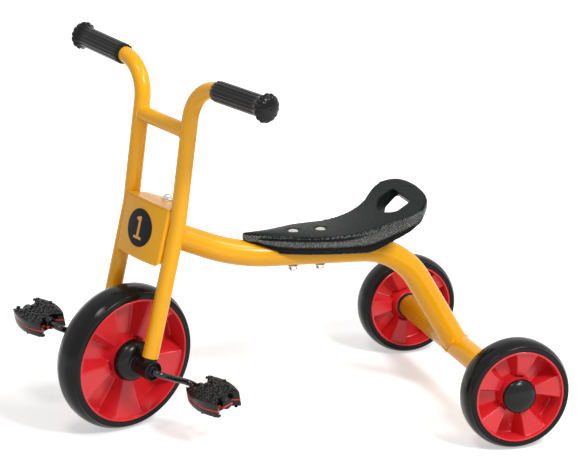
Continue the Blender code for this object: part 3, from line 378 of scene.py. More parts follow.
# The saddle's grain: cells per metre, depth, the paler colour painted on its tips as a painted highlight, and how a
# height becomes such a tip
GRAIN_CELLS = 430.0
GRAIN_DEPTH = 0.0030
GRAIN_PAINTED_GLINT = (0.115, 0.123, 0.119, 1.0)
GRAIN_PAINTED_GLINT_FROM = 0.19
GRAIN_PAINTED_GLINT_RISE = 9.0
GRAIN_FLAT_SHARE = 0.25
GRAIN_FLAT_SHINE = 0.03


def fitted(obj, material, body, *nodes):
    """Gives a finished piece its material, its body and the nodes it stands for."""
    obj.data.materials.clear()
    obj.data.materials.append(material)
    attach(obj, body)
    if nodes:
        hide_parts(*nodes)


def put(tree, socket, value):
    """Links a socket to another node's output, or sets it to a number or a colour."""
    if isinstance(value, bpy.types.NodeSocket):
        tree.links.new(value, socket)
    else:
        socket.default_value = value


def add_node(tree, kind, inputs=None, **settings):
    """A shader node with its settings, then its inputs by name or by number. In that order, because
    a group node has its inputs only once its group is set."""
    node = tree.nodes.new("ShaderNode" + kind)
    for label, value in settings.items():
        setattr(node, label, value)
    for label, value in (inputs or {}).items():
        put(tree, node.inputs[label], value)
    return node


def calculate(tree, operation, first, second):
    return add_node(tree, "Math", {0: first, 1: second}, operation=operation).outputs[0]


def object_place(tree):
    return add_node(tree, "TexCoord").outputs["Object"]


def noise(tree, scale, detail, vector):
    return add_node(tree, "TexNoise", {"Scale": scale, "Detail": detail, "Vector": vector}).outputs["Fac"]


def mixed(tree, factor, first, second):
    inputs = {"Factor": factor, "A": first, "B": second}
    return add_node(tree, "Mix", inputs, data_type="RGBA").outputs["Result"]


def new_group(name, inputs, outputs):
    """An empty node group with float inputs {name: default} and float outputs."""
    group = bpy.data.node_groups.new(name, "ShaderNodeTree")
    for label, default in inputs.items():
        socket = group.interface.new_socket(label, in_out="INPUT", socket_type="NodeSocketFloat")
        socket.default_value = default
    for label in outputs:
        group.interface.new_socket(label, in_out="OUTPUT", socket_type="NodeSocketFloat")
    return group, group.nodes.new("NodeGroupInput").outputs, group.nodes.new("NodeGroupOutput").inputs


def variation_group():
    """Slow variation of a finish: a mask between 0 and 1, and a roughness that wanders about a middle."""
    inputs = {"Scale": 30.0, "Roughness": 0.3, "Spread": 0.05}
    group, given, result = new_group("finish variation", inputs, ("Mask", "Roughness"))
    mask = noise(group, given["Scale"], 3.0, object_place(group))
    swing = calculate(group, "MULTIPLY", calculate(group, "SUBTRACT", mask, 0.5), given["Spread"])
    put(group, result["Mask"], mask)
    put(group, result["Roughness"], calculate(group, "ADD", given["Roughness"], swing))
    return group


def grain_group():
    """Moulded grain: rounded cells of one size, broken up by a finer noise. The height is half the
    noise less the distance from the cell's middle."""
    inputs = {"Cells per metre": 700.0, "Fineness": 1600.0}
    group, given, result = new_group("moulded grain", inputs, ("Height",))
    place = object_place(group)
    inputs = {"Vector": place, "Scale": given["Cells per metre"]}
    cells = add_node(group, "TexVoronoi", inputs, feature="SMOOTH_F1")
    cells.inputs["Smoothness"].default_value = 0.6
    fine = calculate(group, "MULTIPLY", noise(group, given["Fineness"], 2.0, place), 0.5)
    put(group, result["Height"], calculate(group, "SUBTRACT", fine, cells.outputs["Distance"]))
    return group


VARIATION = variation_group()
GRAIN = grain_group()


def grained(tree, tone, shine):
    """The grain's height, colour and shine, all at their full strength where the mesh's own band is
    one. Off the band the grain is low and dull. The highest parts are painted paler, a painted highlight for the
    lamps' glints on the grain."""
    inputs = {"Cells per metre": GRAIN_CELLS, "Fineness": GRAIN_CELLS * 2.3}
    grain = add_node(tree, "Group", inputs, node_tree=GRAIN)
    raw = grain.outputs["Height"]
    band = add_node(tree, "Attribute", attribute_name="band").outputs["Fac"]
    share = calculate(tree, "MULTIPLY", band, 1 - GRAIN_FLAT_SHARE)
    height = calculate(tree, "MULTIPLY", raw, calculate(tree, "ADD", share, GRAIN_FLAT_SHARE))
    gloss = calculate(tree, "MAXIMUM", calculate(tree, "MULTIPLY", band, shine), GRAIN_FLAT_SHINE)
    # The tips are painted paler: a painted highlight that stands in for the lamps' glints on the grain.
    painted_glint = calculate(tree, "MULTIPLY", calculate(tree, "ADD", raw, GRAIN_PAINTED_GLINT_FROM), GRAIN_PAINTED_GLINT_RISE)
    painted_glint = calculate(tree, "MULTIPLY", calculate(tree, "MAXIMUM", painted_glint, 0.0), band)
    return height, mixed(tree, painted_glint, tone, GRAIN_PAINTED_GLINT), gloss


def finish(name, colour, shade, roughness, scale, metallic=0.0, coat=0.0, shine=0.5, bump=None, grain=False):
    """A Principled material whose colour wanders between two tones and whose roughness wanders with
    it. Its bump is the noise's scale per metre, its strength and its depth."""
    made = bpy.data.materials.new(name)
    made.use_nodes = True
    tree = made.node_tree
    shader = tree.nodes["Principled BSDF"]
    inputs = {"Scale": scale, "Roughness": roughness, "Spread": ROUGHNESS_SPREAD}
    variation = add_node(tree, "Group", inputs, node_tree=VARIATION).outputs
    tone = mixed(tree, variation["Mask"], (*shade, 1.0), (*colour, 1.0))
    if grain:
        height, tone, shine = grained(tree, tone, shine)
        strength, depth = 1.0, GRAIN_DEPTH
    elif bump:
        size, strength, depth = bump
        height = noise(tree, size, 2.0, object_place(tree))
    if grain or bump:
        inputs = {"Strength": strength, "Distance": depth, "Height": height}
        put(tree, shader.inputs["Normal"], add_node(tree, "Bump", inputs).outputs["Normal"])
    values = {
        "Base Color": tone, "Roughness": variation["Roughness"], "Metallic": metallic,
        "Specular IOR Level": shine, "Coat Weight": coat, "Coat Roughness": COAT_ROUGHNESS,
    }
    for label, value in values.items():
        put(tree, shader.inputs[label], value)
    return made


BLACK, SOOT = (0.008, 0.009, 0.008), (0.006, 0.007, 0.006)
YELLOW_PAINT = finish(
    "yellow powder coat", (0.93, 0.44, 0.004), (0.91, 0.41, 0.003), 0.24, 14.0,
    coat=0.12, shine=0.25, bump=(420.0, 0.10, 0.0002),
)
TYRE_RUBBER = finish(
    "tyre rubber", (0.009, 0.010, 0.009), SOOT, 0.16, 22.0,
    shine=0.15, bump=(900.0, 0.08, 0.0002),
)
RED_PLASTIC = finish(
    "red wheel plastic", (0.70, 0.024, 0.030), (0.66, 0.018, 0.026), 0.24, 25.0,
    shine=0.45, bump=(260.0, 0.06, 0.0003),
)
CORE_PLASTIC = finish("red pedal core", (0.70, 0.035, 0.020), (0.60, 0.022, 0.016), 0.40, 60.0)
BLACK_PLASTIC = finish(
    "black moulded plastic", BLACK, SOOT, 0.24, 40.0, shine=0.22, bump=(1100.0, 0.10, 0.0001)
)
PEDAL_PLASTIC = finish(
    "pedal plastic", BLACK, (0.005, 0.006, 0.005), 0.24, 70.0,
    shine=0.27, bump=(1400.0, 0.3, 0.0002),
)
GRIP_RUBBER = finish(
    "grip rubber", (0.005, 0.006, 0.005), (0.004, 0.005, 0.004), 0.20, 45.0,
    shine=0.19, bump=(1300.0, 0.1, 0.0001),
)
SADDLE_PLASTIC = finish(
    "grained saddle plastic", (0.008, 0.010, 0.009), (0.006, 0.008, 0.007), 0.25, 35.0,
    shine=1.0, grain=True,
)
CRANK_PAINT = finish(
    "black crank paint", (0.008, 0.008, 0.008), (0.006, 0.006, 0.006), 0.14, 50.0, coat=0.3, shine=0.3
)
ZINC = finish(
    "zinc plated steel", (0.74, 0.73, 0.70), (0.56, 0.56, 0.54), 0.24, 160.0,
    metallic=1.0, bump=(900.0, 0.1, 0.0001),
)
AXLE_STEEL = finish(
    "drawn axle steel", (0.50, 0.50, 0.49), (0.40, 0.40, 0.40), 0.34, 120.0, metallic=1.0
)
NUMBER_INK = finish(
    "number disc film", (0.006, 0.012, 0.017), (0.004, 0.009, 0.013), 0.34, 60.0, shine=0.1
)
NUMERAL_INK = finish("numeral film", (0.84, 0.36, 0.020), (0.80, 0.32, 0.015), 0.34, 60.0)


# Tubes


def weld_bead(name, bar_radius, other_radius, place, reach):
    """A fillet of weld where a bar along X meets a cylinder along Z: a ring of small lumps that
    follows the saddle curve, where height off the other cylinder's axis is the root of its
    radius squared less the sideways offset squared."""
    turn = np.linspace(0, 2 * math.pi, 120, endpoint=False)
    section = np.linspace(0, 2 * math.pi, 10, endpoint=False)[:, None]
    side = bar_radius * np.cos(turn)
    centre = stacked(np.sqrt(np.maximum(other_radius**2 - side**2, 0.0)), side, bar_radius * np.sin(turn))
    outward = stacked(0.0, np.cos(turn), np.sin(turn))
    swell = reach * (1 + 0.10 * np.sin(turn * 34))[:, None, None]
    bend = np.cos(section) * outward[:, None, :] + np.sin(section) * np.array([1.0, 0.0, 0.0])
    return surface(name, centre[:, None, :] + swell * bend, place, wrap_rows=True, sharp=60)


def leg_corners(sign):
    """The corners of one leg: foot, kink, handlebar bend and the end of the grip."""
    lean = HANDLE_RISE * math.tan(FORK_KINK_ANGLE)
    reach = HANDLE_REACH - FORK_LEG_HALF_SPACING
    side, top = sign * FORK_LEG_HALF_SPACING, FORK_KINK_HEIGHT + HANDLE_RISE
    return np.array(
        [
            (side, -FRONT_AXLE_REAR, FORK_LEG_FOOT),
            (side, -FRONT_AXLE_REAR, FORK_KINK_HEIGHT),
            (side, -FRONT_AXLE_REAR - lean, top),
            (sign * HANDLE_REACH, -FRONT_AXLE_REAR - lean, top + reach * math.tan(HANDLE_TILT)),
        ]
    )


def make_leg(side):
    """One bent tube from the foot of the fork to the end of the grip."""
    path = spread(rounded(leg_corners(SIGN[side]), [FORK_KINK_RADIUS, HANDLE_BEND_RADIUS], 20))
    leg = swept("fork_leg_shell_" + side, path, FORK_TUBE_RADIUS, (0, 1, 0), FORK, 48)
    fitted(leg, YELLOW_PAINT, "fork", "fork_leg_" + side)


def make_cross_tube():
    """The bar between the legs above the bracket, let into both and welded round."""
    place = FORK.moved(
        y=-FRONT_AXLE_REAR - CROSS_TUBE_RISE * math.sin(FORK_KINK_ANGLE),
        z=FORK_KINK_HEIGHT + CROSS_TUBE_RISE * math.cos(FORK_KINK_ANGLE),
    )
    reach = FORK_LEG_HALF_SPACING - FORK_TUBE_RADIUS * 0.35
    path = spread(np.array([(-reach, 0, 0), (reach, 0, 0)]), 0.01)
    pieces = [swept("cross_tube", path, CROSS_TUBE_RADIUS, (0, 1, 0), place)]
    lean = place.z * math.cos(FORK_KINK_ANGLE) - place.y * math.sin(FORK_KINK_ANGLE)
    for sign in (1, -1):
        facing = Place(place([sign * FORK_LEG_HALF_SPACING, 0.0, 0.0]), -sign * place.x, lean)
        pieces.append(weld_bead("cross_weld", CROSS_TUBE_RADIUS, FORK_TUBE_RADIUS, facing, 0.0016))
    fitted(joined("fork_cross_shell", pieces), YELLOW_PAINT, "fork", "fork_cross_tube")


def main_corners():
    """The backbone's corners in the side view: down from the head, nearly level under the saddle,
    then down to the axle."""
    head = HEAD([0.0, 0.0, HEAD_MOUTH])
    reach = np.array([head[1] + MAIN_BEND_BEHIND_HEAD, REAR_AXLE_Y - MAIN_BEND_BEFORE_AXLE])
    height = MAIN_LEVEL - math.tan(MAIN_FALL) * (reach - REAR_AXLE_Y + MAIN_LEVEL_BEFORE_AXLE)
    front, rear = stacked(0.0, reach, height)
    return np.array([head, front, rear, REAR.origin])


def main_path():
    return spread(rounded(main_corners(), MAIN_BEND_RADII, 28))


def make_main_tube():
    """The backbone, which starts just clear of the head tube, and the weld at each of its ends."""
    corners, path = main_corners(), main_path()
    slope = unit(corners[1] - corners[0])
    start = corners[0] + slope * 0.012
    path = np.concatenate([start[None], path[path[:, 1] > start[1] + 0.004]])
    tube = swept("main_tube_bar", path, MAIN_TUBE_RADIUS, (1, 0, 0), ROW, 64)
    head = Place(corners[0], slope, HEAD.z)
    axle = Place(REAR.origin, unit(corners[2] - corners[3]), ROW.x)
    beads = [
        weld_bead("head_weld", MAIN_TUBE_RADIUS, HEAD_TUBE_RADIUS, head, 0.0022),
        weld_bead("axle_weld", MAIN_TUBE_RADIUS, AXLE_TUBE_RADIUS, axle, 0.0020),
    ]
    fitted(joined("main_tube_shell", [tube] + beads), YELLOW_PAINT, "frame", "main_tube")


def make_sleeve(name, radius, length, place, node):
    """A straight tube with rounded outer edges, centred on the place."""
    half, edge = length / 2, 0.0008
    end = np.array([(radius - edge, half), (radius - edge * 0.3, half - edge * 0.3), (radius, half - edge)])
    profile = np.concatenate([[(TUBE_BORE, -half), (TUBE_BORE, half)], end, end[::-1] * [1.0, -1.0]])
    fitted(revolved(name, profile, place, closed=True), YELLOW_PAINT, "frame", node)


def make_tubes():
    """The legs and the bar between them, the backbone, and the tubes it joins at its two ends."""
    for side in ("left", "right"):
        make_leg(side)
    make_cross_tube()
    make_main_tube()
    head_length, head_middle = 0.0690, 0.2067
    make_sleeve("head_tube_shell", HEAD_TUBE_RADIUS, head_length, HEAD.upright().moved(x=head_middle), "head_tube")
    low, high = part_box("rear_axle_tube")
    make_sleeve("rear_axle_shell", AXLE_TUBE_RADIUS, high.x - low.x, REAR, "rear_axle_tube")


# Head bracket and badge


def bracket_bow(across):
    """How far the bowed front stands back from its middle: it grows with the square of the distance."""
    return BRACKET_BOW * (across / BRACKET_HALF_WIDTH) ** 2


def bracket_front_line(inset):
    """Half of the front in plan, from the leg round the folded edge to the middle, inset from the outside."""
    start = BRACKET_HALF_WIDTH - BRACKET_FOLD
    fold = BRACKET_FOLD - inset
    corner = quarter(12, fold, -fold, (start, BRACKET_FOLD - BRACKET_FRONT + bracket_bow(start)))
    across = np.linspace(start, 0.0, 22)[1:]
    bow = stacked(across, inset - BRACKET_FRONT + bracket_bow(across))
    return np.concatenate([[(BRACKET_HALF_WIDTH - inset, -0.0326)], corner, bow])


def make_bracket():
    """The pressed front pan, bowed across and folded back to the legs, and the two cross plates.
    The pan's lower edge is a shallow bow whose height rises with a high power of the share of the
    way to the side, which rounds the lower corners."""
    outline = mirrored(bracket_front_line(0.0))
    share = np.abs(outline[:, 0]) / BRACKET_HALF_WIDTH
    inset, bow, corner = 0.0034, 0.0012, 0.0050
    low = BRACKET_BOTTOM - inset + bow * share**2 + corner * share**24
    high = BRACKET_TOP - inset
    height = low + (high - low) * np.linspace(0, 1, 34)[:, None]
    grid = stacked(outline[:, 0], outline[:, 1], height)
    pan = surface("bracket_pan", grid, FORK, wrap_columns=False, sharp=40)
    modified(pan, "SOLIDIFY", thickness=BRACKET_SHEET, offset=-1.0)
    modified(pan, "BEVEL", width=0.0008, segments=3, angle_limit=math.radians(50))
    beads = [bracket_weld(sign) for sign in (1.0, -1.0)]
    fitted(joined("bracket_pan_shell", [pan] + beads), YELLOW_PAINT, "fork", "bracket_front")
    inner, half_plate = FORK_LEG_HALF_SPACING - FORK_TUBE_RADIUS - 0.0003, 0.0015
    rear = [(0.0240, 0.0080), (inner, -0.0070), (inner, -0.0292)]
    for name, back, middle in (("bracket_top", 0.0, BRACKET_TOP - half_plate), ("bracket_bottom", inset, 0.1675)):
        plan = mirrored(np.concatenate([rear, bracket_front_line(back)]))
        plate = prism(name + "_sheet", plan, middle - half_plate, middle + half_plate, FORK, 0.0008)
        fitted(plate, YELLOW_PAINT, "fork", name)


def bracket_weld(sign):
    """A run of weld down the line where the folded edge meets the leg: a thin bar whose radius
    swells and shrinks with a sine along it."""
    height = np.linspace(BRACKET_BOTTOM + 0.014, BRACKET_TOP - 0.006, 90)
    lean = np.clip(height - FORK_KINK_HEIGHT, 0.0, None) * math.tan(FORK_KINK_ANGLE)
    path = stacked(sign * (BRACKET_HALF_WIDTH - 0.0004), -0.0314 - lean, height)
    return swept("bracket_weld", path, 0.0014 + 0.0002 * np.sin(height * 1500), (1, 0, 0), FORK, 10)


def numeral_outline():
    """A plain slab-footed figure one: a stem with a rounded flag at its top left and a foot bar."""
    stem, foot, top, bottom, bar = 0.0026, 0.0090, 0.0175, -0.0175, -0.0133
    flag = np.linspace(math.pi * 0.5, math.pi * 1.5, 9)
    knob = stacked(-0.0050 + 0.0030 * np.cos(flag), 0.0132 + 0.0030 * np.sin(flag))
    head = [(stem, top), (-0.0016, top), (-0.0030, 0.0162)]
    base = [(-stem, 0.0106), (-stem, bar), (-foot, bar), (-foot, bottom), (foot, bottom), (foot, bar), (stem, bar)]
    return np.concatenate([head, knob, base])


def bowed(obj):
    """Bends a flat piece on the front of the bracket back by the bracket's own bow, point by point."""
    points = read_vertices(obj.data, "co")
    side = (points - FORK.origin) @ FORK.x
    points += bracket_bow(side)[:, None] * FORK.y
    obj.data.vertices.foreach_set("co", points.ravel())
    return obj


def make_badge():
    """The round film on the bowed front and the figure on it."""
    face = Place(FORK([BADGE_ASIDE, -BRACKET_FRONT - 0.0003, BADGE_HEIGHT]), -FORK.y, FORK.z)
    radius, film = 0.0290, 0.0008
    profile = [(0.0, 0.0), (radius, 0.0), (radius, film - 0.0003)]
    profile += [(ring, film) for ring in np.linspace(radius - 0.0004, 0.0, 12)]
    fitted(bowed(revolved("number_disc_film", profile, face, 96)), NUMBER_INK, "fork", "number_disc")
    front = Place(FORK([BADGE_ASIDE, -BRACKET_FRONT - 0.0011, BADGE_HEIGHT]), FORK.x, -FORK.y)
    numeral = prism("number_one", numeral_outline(), -0.0001, 0.0003, front)
    fitted(bowed(numeral), NUMERAL_INK, "fork")


# Wheels


def make_tyre(name, place, size, body, node):
    """Flat side ring, a tight shoulder line, then a tread that is crowned across its width."""
    radius, bore, half, shoulder = size
    round_off = 0.0034
    tread_half = half - round_off
    crown = np.linspace(0, 1, 18)
    tread = stacked(shoulder + (radius - shoulder) * (1 - (1 - crown) ** 2.6), tread_half * (1 - crown))
    corner = quarter(6, round_off, round_off)[:-1, ::-1] + (shoulder - round_off, tread_half)
    side = [(bore, half - 0.0016), (bore + 0.0006, half - 0.0003), (bore + 0.0030, half)]
    profile = mirrored(np.concatenate([side, corner, tread]), (1.0, -1.0))
    fitted(revolved(name, profile, place, 160, closed=True, sharp=50), TYRE_RUBBER, body, node)


def web_wave(angle, share):
    """Plus one on the five panels that stand out and minus one in the five pockets between them. The
    panels widen from the hub to the rim, and each ramp between the two levels is steep and eased."""
    wave = np.clip(2.6 * np.cos(5 * angle) - 0.3 + 0.6 * share[:, None], -1.0, 1.0)
    weights = {-2: 1, -1: 2, 0: 3, 1: 2, 2: 1}
    return sum(np.roll(wave, step, axis=1) * weight for step, weight in weights.items()) / sum(weights.values())


def make_disc(name, place, size, turn, body, node):
    """Both faces of a moulded disc on one grid. Out from the hub, the web's height is its half
    thickness plus the wave times a depth that grows from the hub to the rim, eased into the cone
    of the hub and the wall of the rim."""
    radius, half, hub_radius, hub_height, bore = size
    rim, foot, web, step = radius - 0.0034, hub_radius + 0.0036, 0.0030, 0.0012
    angle = np.linspace(0, 2 * math.pi, 600, endpoint=False)
    share = np.linspace(0, 1, 34)
    depth = WEB_DEPTH * (0.45 + 0.55 * share) * smooth_step(share / 0.06)
    swing = depth[:, None] * web_wave(angle - math.radians(turn), share)
    wall = web + step * (1 - smooth_step((1 - share) / 0.035))
    cone = np.array([(bore, hub_height), (hub_radius - 0.0014, hub_height), (hub_radius, hub_height - step)])
    fillet = cone[-1] + ([foot, web] - cone[-1]) * np.linspace(0, 1, 8)[1:-1, None]
    lip = np.array(
        [
            (rim + 0.0002, half - 0.0016), (rim + 0.0006, half - 0.0004), (rim + 0.0014, half),
            (radius - 0.0006, half), (radius, half - 0.0006),
        ]
    )

    def face(side):
        def ring(pairs):
            return stacked(pairs[:, :1], pairs[:, 1:] * side + 0 * angle)

        middle = stacked((foot + (rim - foot) * share)[:, None], side * wall[:, None] + swing)
        return np.concatenate([ring(np.concatenate([cone, fillet])), middle, ring(lip)])

    rows = np.concatenate([face(1.0), face(-1.0)[::-1]])
    disc = surface(name, about_x(rows[..., 1], rows[..., 0], angle), place, wrap_rows=True, sharp=38)
    fitted(disc, RED_PLASTIC, body, node)


def make_rear_wheel(side):
    """A disc, a tyre and a flattened domed cap, whose section is a quarter of an oval."""
    place = Place(REAR_CENTRE[side], ROW.x * SIGN[side], ROW.z)
    body = "rear_wheel_" + side
    size = (0.0707, 0.0239, 0.0240, REAR_HUB_HALF, 0.0065)
    make_disc("rear_disc_shell_" + side, place, size, REAR_WEB_ANGLE[side], body, "rear_disc_" + side)
    size = (0.0850, 0.0708, 0.0238, 0.0797)
    make_tyre("rear_tyre_shell_" + side, place, size, body, "rear_tyre_" + side)
    base, lip = 0.0268, 0.0012
    curve = quarter(24, base, 0.0118, (0.0, lip), (0.92, 1.06))
    profile = np.concatenate([[(0.0, 0.0), (base - 0.0006, 0.0), (base, 0.0004)], curve])
    cap = revolved("rear_cap_shell_" + side, profile, place.moved(x=REAR_HUB_HALF + 0.0003), 96)
    fitted(cap, BLACK_PLASTIC, body, "rear_cap_" + side)


def make_front_wheel():
    """The disc, the tyre and the two hubs. A hub's section runs over a round shoulder, its radius by a
    power of the cosine and its height by a power of the sine, and then up a straight neck."""
    size = (0.0983, 0.0250, 0.0290, 0.0170, 0.0053)
    make_disc("front_disc_shell", FRONT, size, FRONT_WEB_ANGLE, "front_wheel", "front_disc")
    make_tyre("front_tyre_shell", FRONT, (0.1150, 0.0984, 0.0249, 0.1085), "front_wheel", "front_tyre")
    angle = np.linspace(0, math.radians(84), 20)
    shell = stacked(0.0150 + 0.0185 * np.cos(angle) ** 0.94, 0.0012 + 0.0178 * np.sin(angle) ** 1.04)
    foot = [(0.0053, 0.0), (0.0329, 0.0), (0.0335, 0.0005)]
    neck = [(0.0152, 0.0200), (0.0150, 0.0215), (0.0150, 0.0255), (0.0146, 0.0262), (0.0053, 0.0262)]
    profile = np.concatenate([foot, shell, neck])
    for side in ("left", "right"):
        place = Place(FRONT_CENTRE, FRONT_AXIS * SIGN[side], FRONT.z).moved(x=0.0173)
        hub = revolved("front_hub_shell_" + side, profile, place, 96, closed=True, sharp=50)
        fitted(hub, BLACK_PLASTIC, "front_wheel", "front_hub_" + side)


# Bearing plugs, cranks and pedals


def make_bearing_plug(side):
    """The cross barrel under the leg with a raised ring on its outer end, and the collar above it."""
    inner, outer, radius, bore, lip = 0.0440, 0.0745, 0.0152, 0.0055, 0.0012
    profile = np.concatenate(
        [
            [(bore, inner), (radius - 0.0006, inner), (radius, inner + 0.0006)],
            quarter(6, lip, lip, (radius - lip, outer - lip)),
            [(0.0128, outer), (0.0120, outer - 0.0004), (0.0117, outer - 0.0016), (0.0082, outer - 0.0016)],
            [(0.0078, outer - 0.0012), (0.0076, outer + 0.0002), (0.0070, outer + 0.0006), (bore, outer + 0.0006)],
        ]
    )
    place = Place(FORK([0.0, -FRONT_AXLE_REAR, 0.0]), FORK.x * SIGN[side], FORK.z)
    barrel = revolved("plug_barrel", profile, place, 80, closed=True, sharp=50)
    leg = FORK.moved(x=SIGN[side] * FORK_LEG_HALF_SPACING, y=-FRONT_AXLE_REAR)
    top = FORK_LEG_FOOT - 0.0003
    profile = [(0.0, 0.0), (0.0121, 0.0), (0.0121, 0.0176), (0.0117, top), (0.0, top)]
    collar = revolved("plug_collar", profile, leg.upright())
    plug = joined("bearing_plug_shell_" + side, [barrel, collar])
    fitted(plug, BLACK_PLASTIC, "fork", "bearing_plug_" + side)
    profile = np.concatenate([[(0.0, 0.0), (0.0030, 0.0)], quarter(8, 0.0034, 0.0016, (0.0, 0.0002))])
    place = Place(leg([0.0, FORK_TUBE_RADIUS, FORK_LEG_FOOT + 0.0170]), FORK.y, FORK.z)
    rivet = revolved("rivet_head_" + side, profile, place, 32)
    fitted(rivet, ZINC, "fork", "plug_rivet_" + side)


def make_crank_rod():
    """One rod bent four times, from pedal to pedal through the hub."""
    end = PEDAL_CENTRE + 0.0270
    half = np.array([(end, 1, 0), (CRANK_PLANE, 1, 0), (CRANK_PLANE, 0, 0)])
    corners = np.concatenate([half, -half[::-1]]) * [1.0, CRANK_LENGTH, 1.0]
    path = spread(rounded(corners, [CRANK_BEND_RADIUS] * 4, 16), 0.006)
    rod = swept("crank_rod_bar", path, CRANK_ROD_RADIUS, (0, 0, 1), FRONT)
    fitted(rod, CRANK_PAINT, "front_wheel", "crank_rod")


def pedal_plan(grow=0.0, boss=0.0):
    """The pedal seen from above as x, y: bulged long sides, pointed corners that run in at a slant to
    a valley, and between the valleys the end of the spindle boss, where one is asked for. It grows
    outward by the given amount."""
    half, corner, bulge = 0.0390 + grow, 0.0215 + grow, 0.0300 + grow
    along = np.linspace(-half + 0.0030, half - 0.0030, 30)
    side = stacked(along, corner + (bulge - corner) * (1 - (along / half) ** 2))
    valley, waist = half - 0.0140, PEDAL_BOSS_RADIUS + grow
    corners = [tuple(side[-1]), (half, corner), (valley, waist)]
    radii = [0.0014, 0.0016]
    if boss:
        corners += [(boss + grow, waist)]
        radii += [0.0035]
    end = mirrored(rounded(corners + [(corners[-1][0], 0.0)], radii, 5)[1:], (1.0, -1.0))
    half_outline = np.concatenate([side, end[:-1]])
    return np.concatenate([half_outline, half_outline * -1.0])


def inside_plan(points, outline):
    """Whether each point lies inside the outline, by the even count of crossings of a ray along +X."""
    after = np.roll(outline, -1, axis=0)
    x, y = points[:, :1], points[:, 1:]
    (x1, y1), (x2, y2) = outline.T, after.T
    spans = (y1 > y) != (y2 > y)
    with np.errstate(divide="ignore", invalid="ignore"):
        cross = x1 + (y - y1) * (x2 - x1) / (y2 - y1)
    return (np.sum(spans & (x < cross), axis=1) % 2) == 1


def make_studs(name, face, up, place):
    """Low rounded pebbles in staggered rows over a pedal's face: each is moved by 0.9 mm times the sine
    of its own number, and made 0.86 to 1.14 times as wide and 0.7 to 1.3 times as high."""
    pitch, low, high, width, sides = 0.0094, -0.0002, 0.0022, 0.0041, 8
    columns, rows = np.meshgrid(np.arange(-6, 7), np.arange(-9, 10))
    centres = stacked((columns + 0.5 * (rows % 2)) * pitch, rows * pitch * 0.56).reshape(-1, 2)
    centres = centres[inside_plan(centres, pedal_plan(-0.0034))]
    number = np.arange(len(centres))
    centres = centres + 0.0009 * stacked(np.sin(7.3 * number), np.sin(4.1 * number + 2.0))
    wide = 1 + 0.14 * np.sin(5.7 * number + 1.0)
    uneven = stacked(wide, wide, 1 + 0.3 * np.sin(9.2 * number))
    corner = np.linspace(0, 2 * math.pi, sides, endpoint=False)
    shape = width * (1 - 0.22 * np.sin(2 * corner) ** 2)
    levels = np.array([(0.0, low), (1.0, low), (0.92, high * 0.45), (0.62, high * 0.88), (0.0, high)])
    size, height = levels[:, :1], levels[:, 1:]
    stud = stacked(size * shape * np.cos(corner), size * shape * 0.9 * np.sin(corner), height)
    middles = stacked(centres[:, 0], centres[:, 1], 0.0)
    points = stud * uneven[:, None, None, :] + middles[:, None, None, :]
    points = points.reshape(-1, 3) * [1.0, 1.0, up] + [0.0, 0.0, face]
    quads = np.array(grid_faces(len(levels), sides, False, True))
    faces = (quads + (number * len(levels) * sides)[:, None, None]).reshape(-1, 4)
    return clean(mesh_from(name, place(points), faces.tolist()), 40)


def make_boss(name, place, floor, up):
    """Half of the round spindle boss, cut off flat at the floor: at each station along X the section
    is the arc of that station's radius above the floor, closed by the flat."""
    edge = 0.0030
    end = quarter(7, edge, edge)[:, ::-1] + (PEDAL_BOSS_END - edge, PEDAL_BOSS_RADIUS - edge)
    stations = np.concatenate([[(0.0200, PEDAL_BOSS_RADIUS), (0.0270, PEDAL_BOSS_RADIUS)], end])
    along, radius = stations[:, :1], stations[:, 1:]
    start = np.arcsin(floor / radius)
    angle = start + (math.pi - 2 * start) * np.linspace(0, 1, 40)
    grid = about_x(along, radius, angle) * [1.0, 1.0, up]
    centre = np.array([0.0, 0.0, up * (floor + PEDAL_BOSS_RADIUS) / 2])
    first, last = (np.broadcast_to(centre + [at, 0.0, 0.0], grid[:1].shape) for at in along[[0, -1], 0])
    return surface(name, np.concatenate([first, grid, last]), place, sharp=45)


def make_pedal(side):
    """Two black halves with pebbles on their outer faces round a red core, and a round boss at each end."""
    centre = Place(PEDAL_JOINT[side][0], FRONT_AXIS, FORK.z).turned(PEDAL_TILT).moved(x=SIGN[side] * PEDAL_CENTRE)
    body = "pedal_" + side
    top, bottom, core_top, core_bottom, gap = 0.0110, -0.0132, -0.0009, -0.0033, 0.0002
    for name, low, high, up in (("top", core_top + gap, top, 1.0), ("bottom", bottom, core_bottom - gap, -1.0)):
        face, floor = (high, low) if up > 0 else (low, -high)
        pieces = [prism("pedal_slab", pedal_plan(), low, high, centre, 0.0015, 4, 30)]
        pieces.append(make_studs("pedal_studs", face, up, centre))
        for facing in (1.0, -1.0):
            pieces.append(make_boss("pedal_boss", Place(centre.origin, centre.x * facing, centre.z), floor, up))
        node = "pedal_{}_{}".format(side, name)
        fitted(joined(node + "_shell", pieces), PEDAL_PLASTIC, body, node)
    plan = pedal_plan(0.0002, PEDAL_BOSS_END)
    core = prism("pedal_{}_core_shell".format(side), plan, core_bottom, core_top, centre, 0.0003, 1, 30)
    fitted(core, CORE_PLASTIC, body, "pedal_{}_core".format(side))


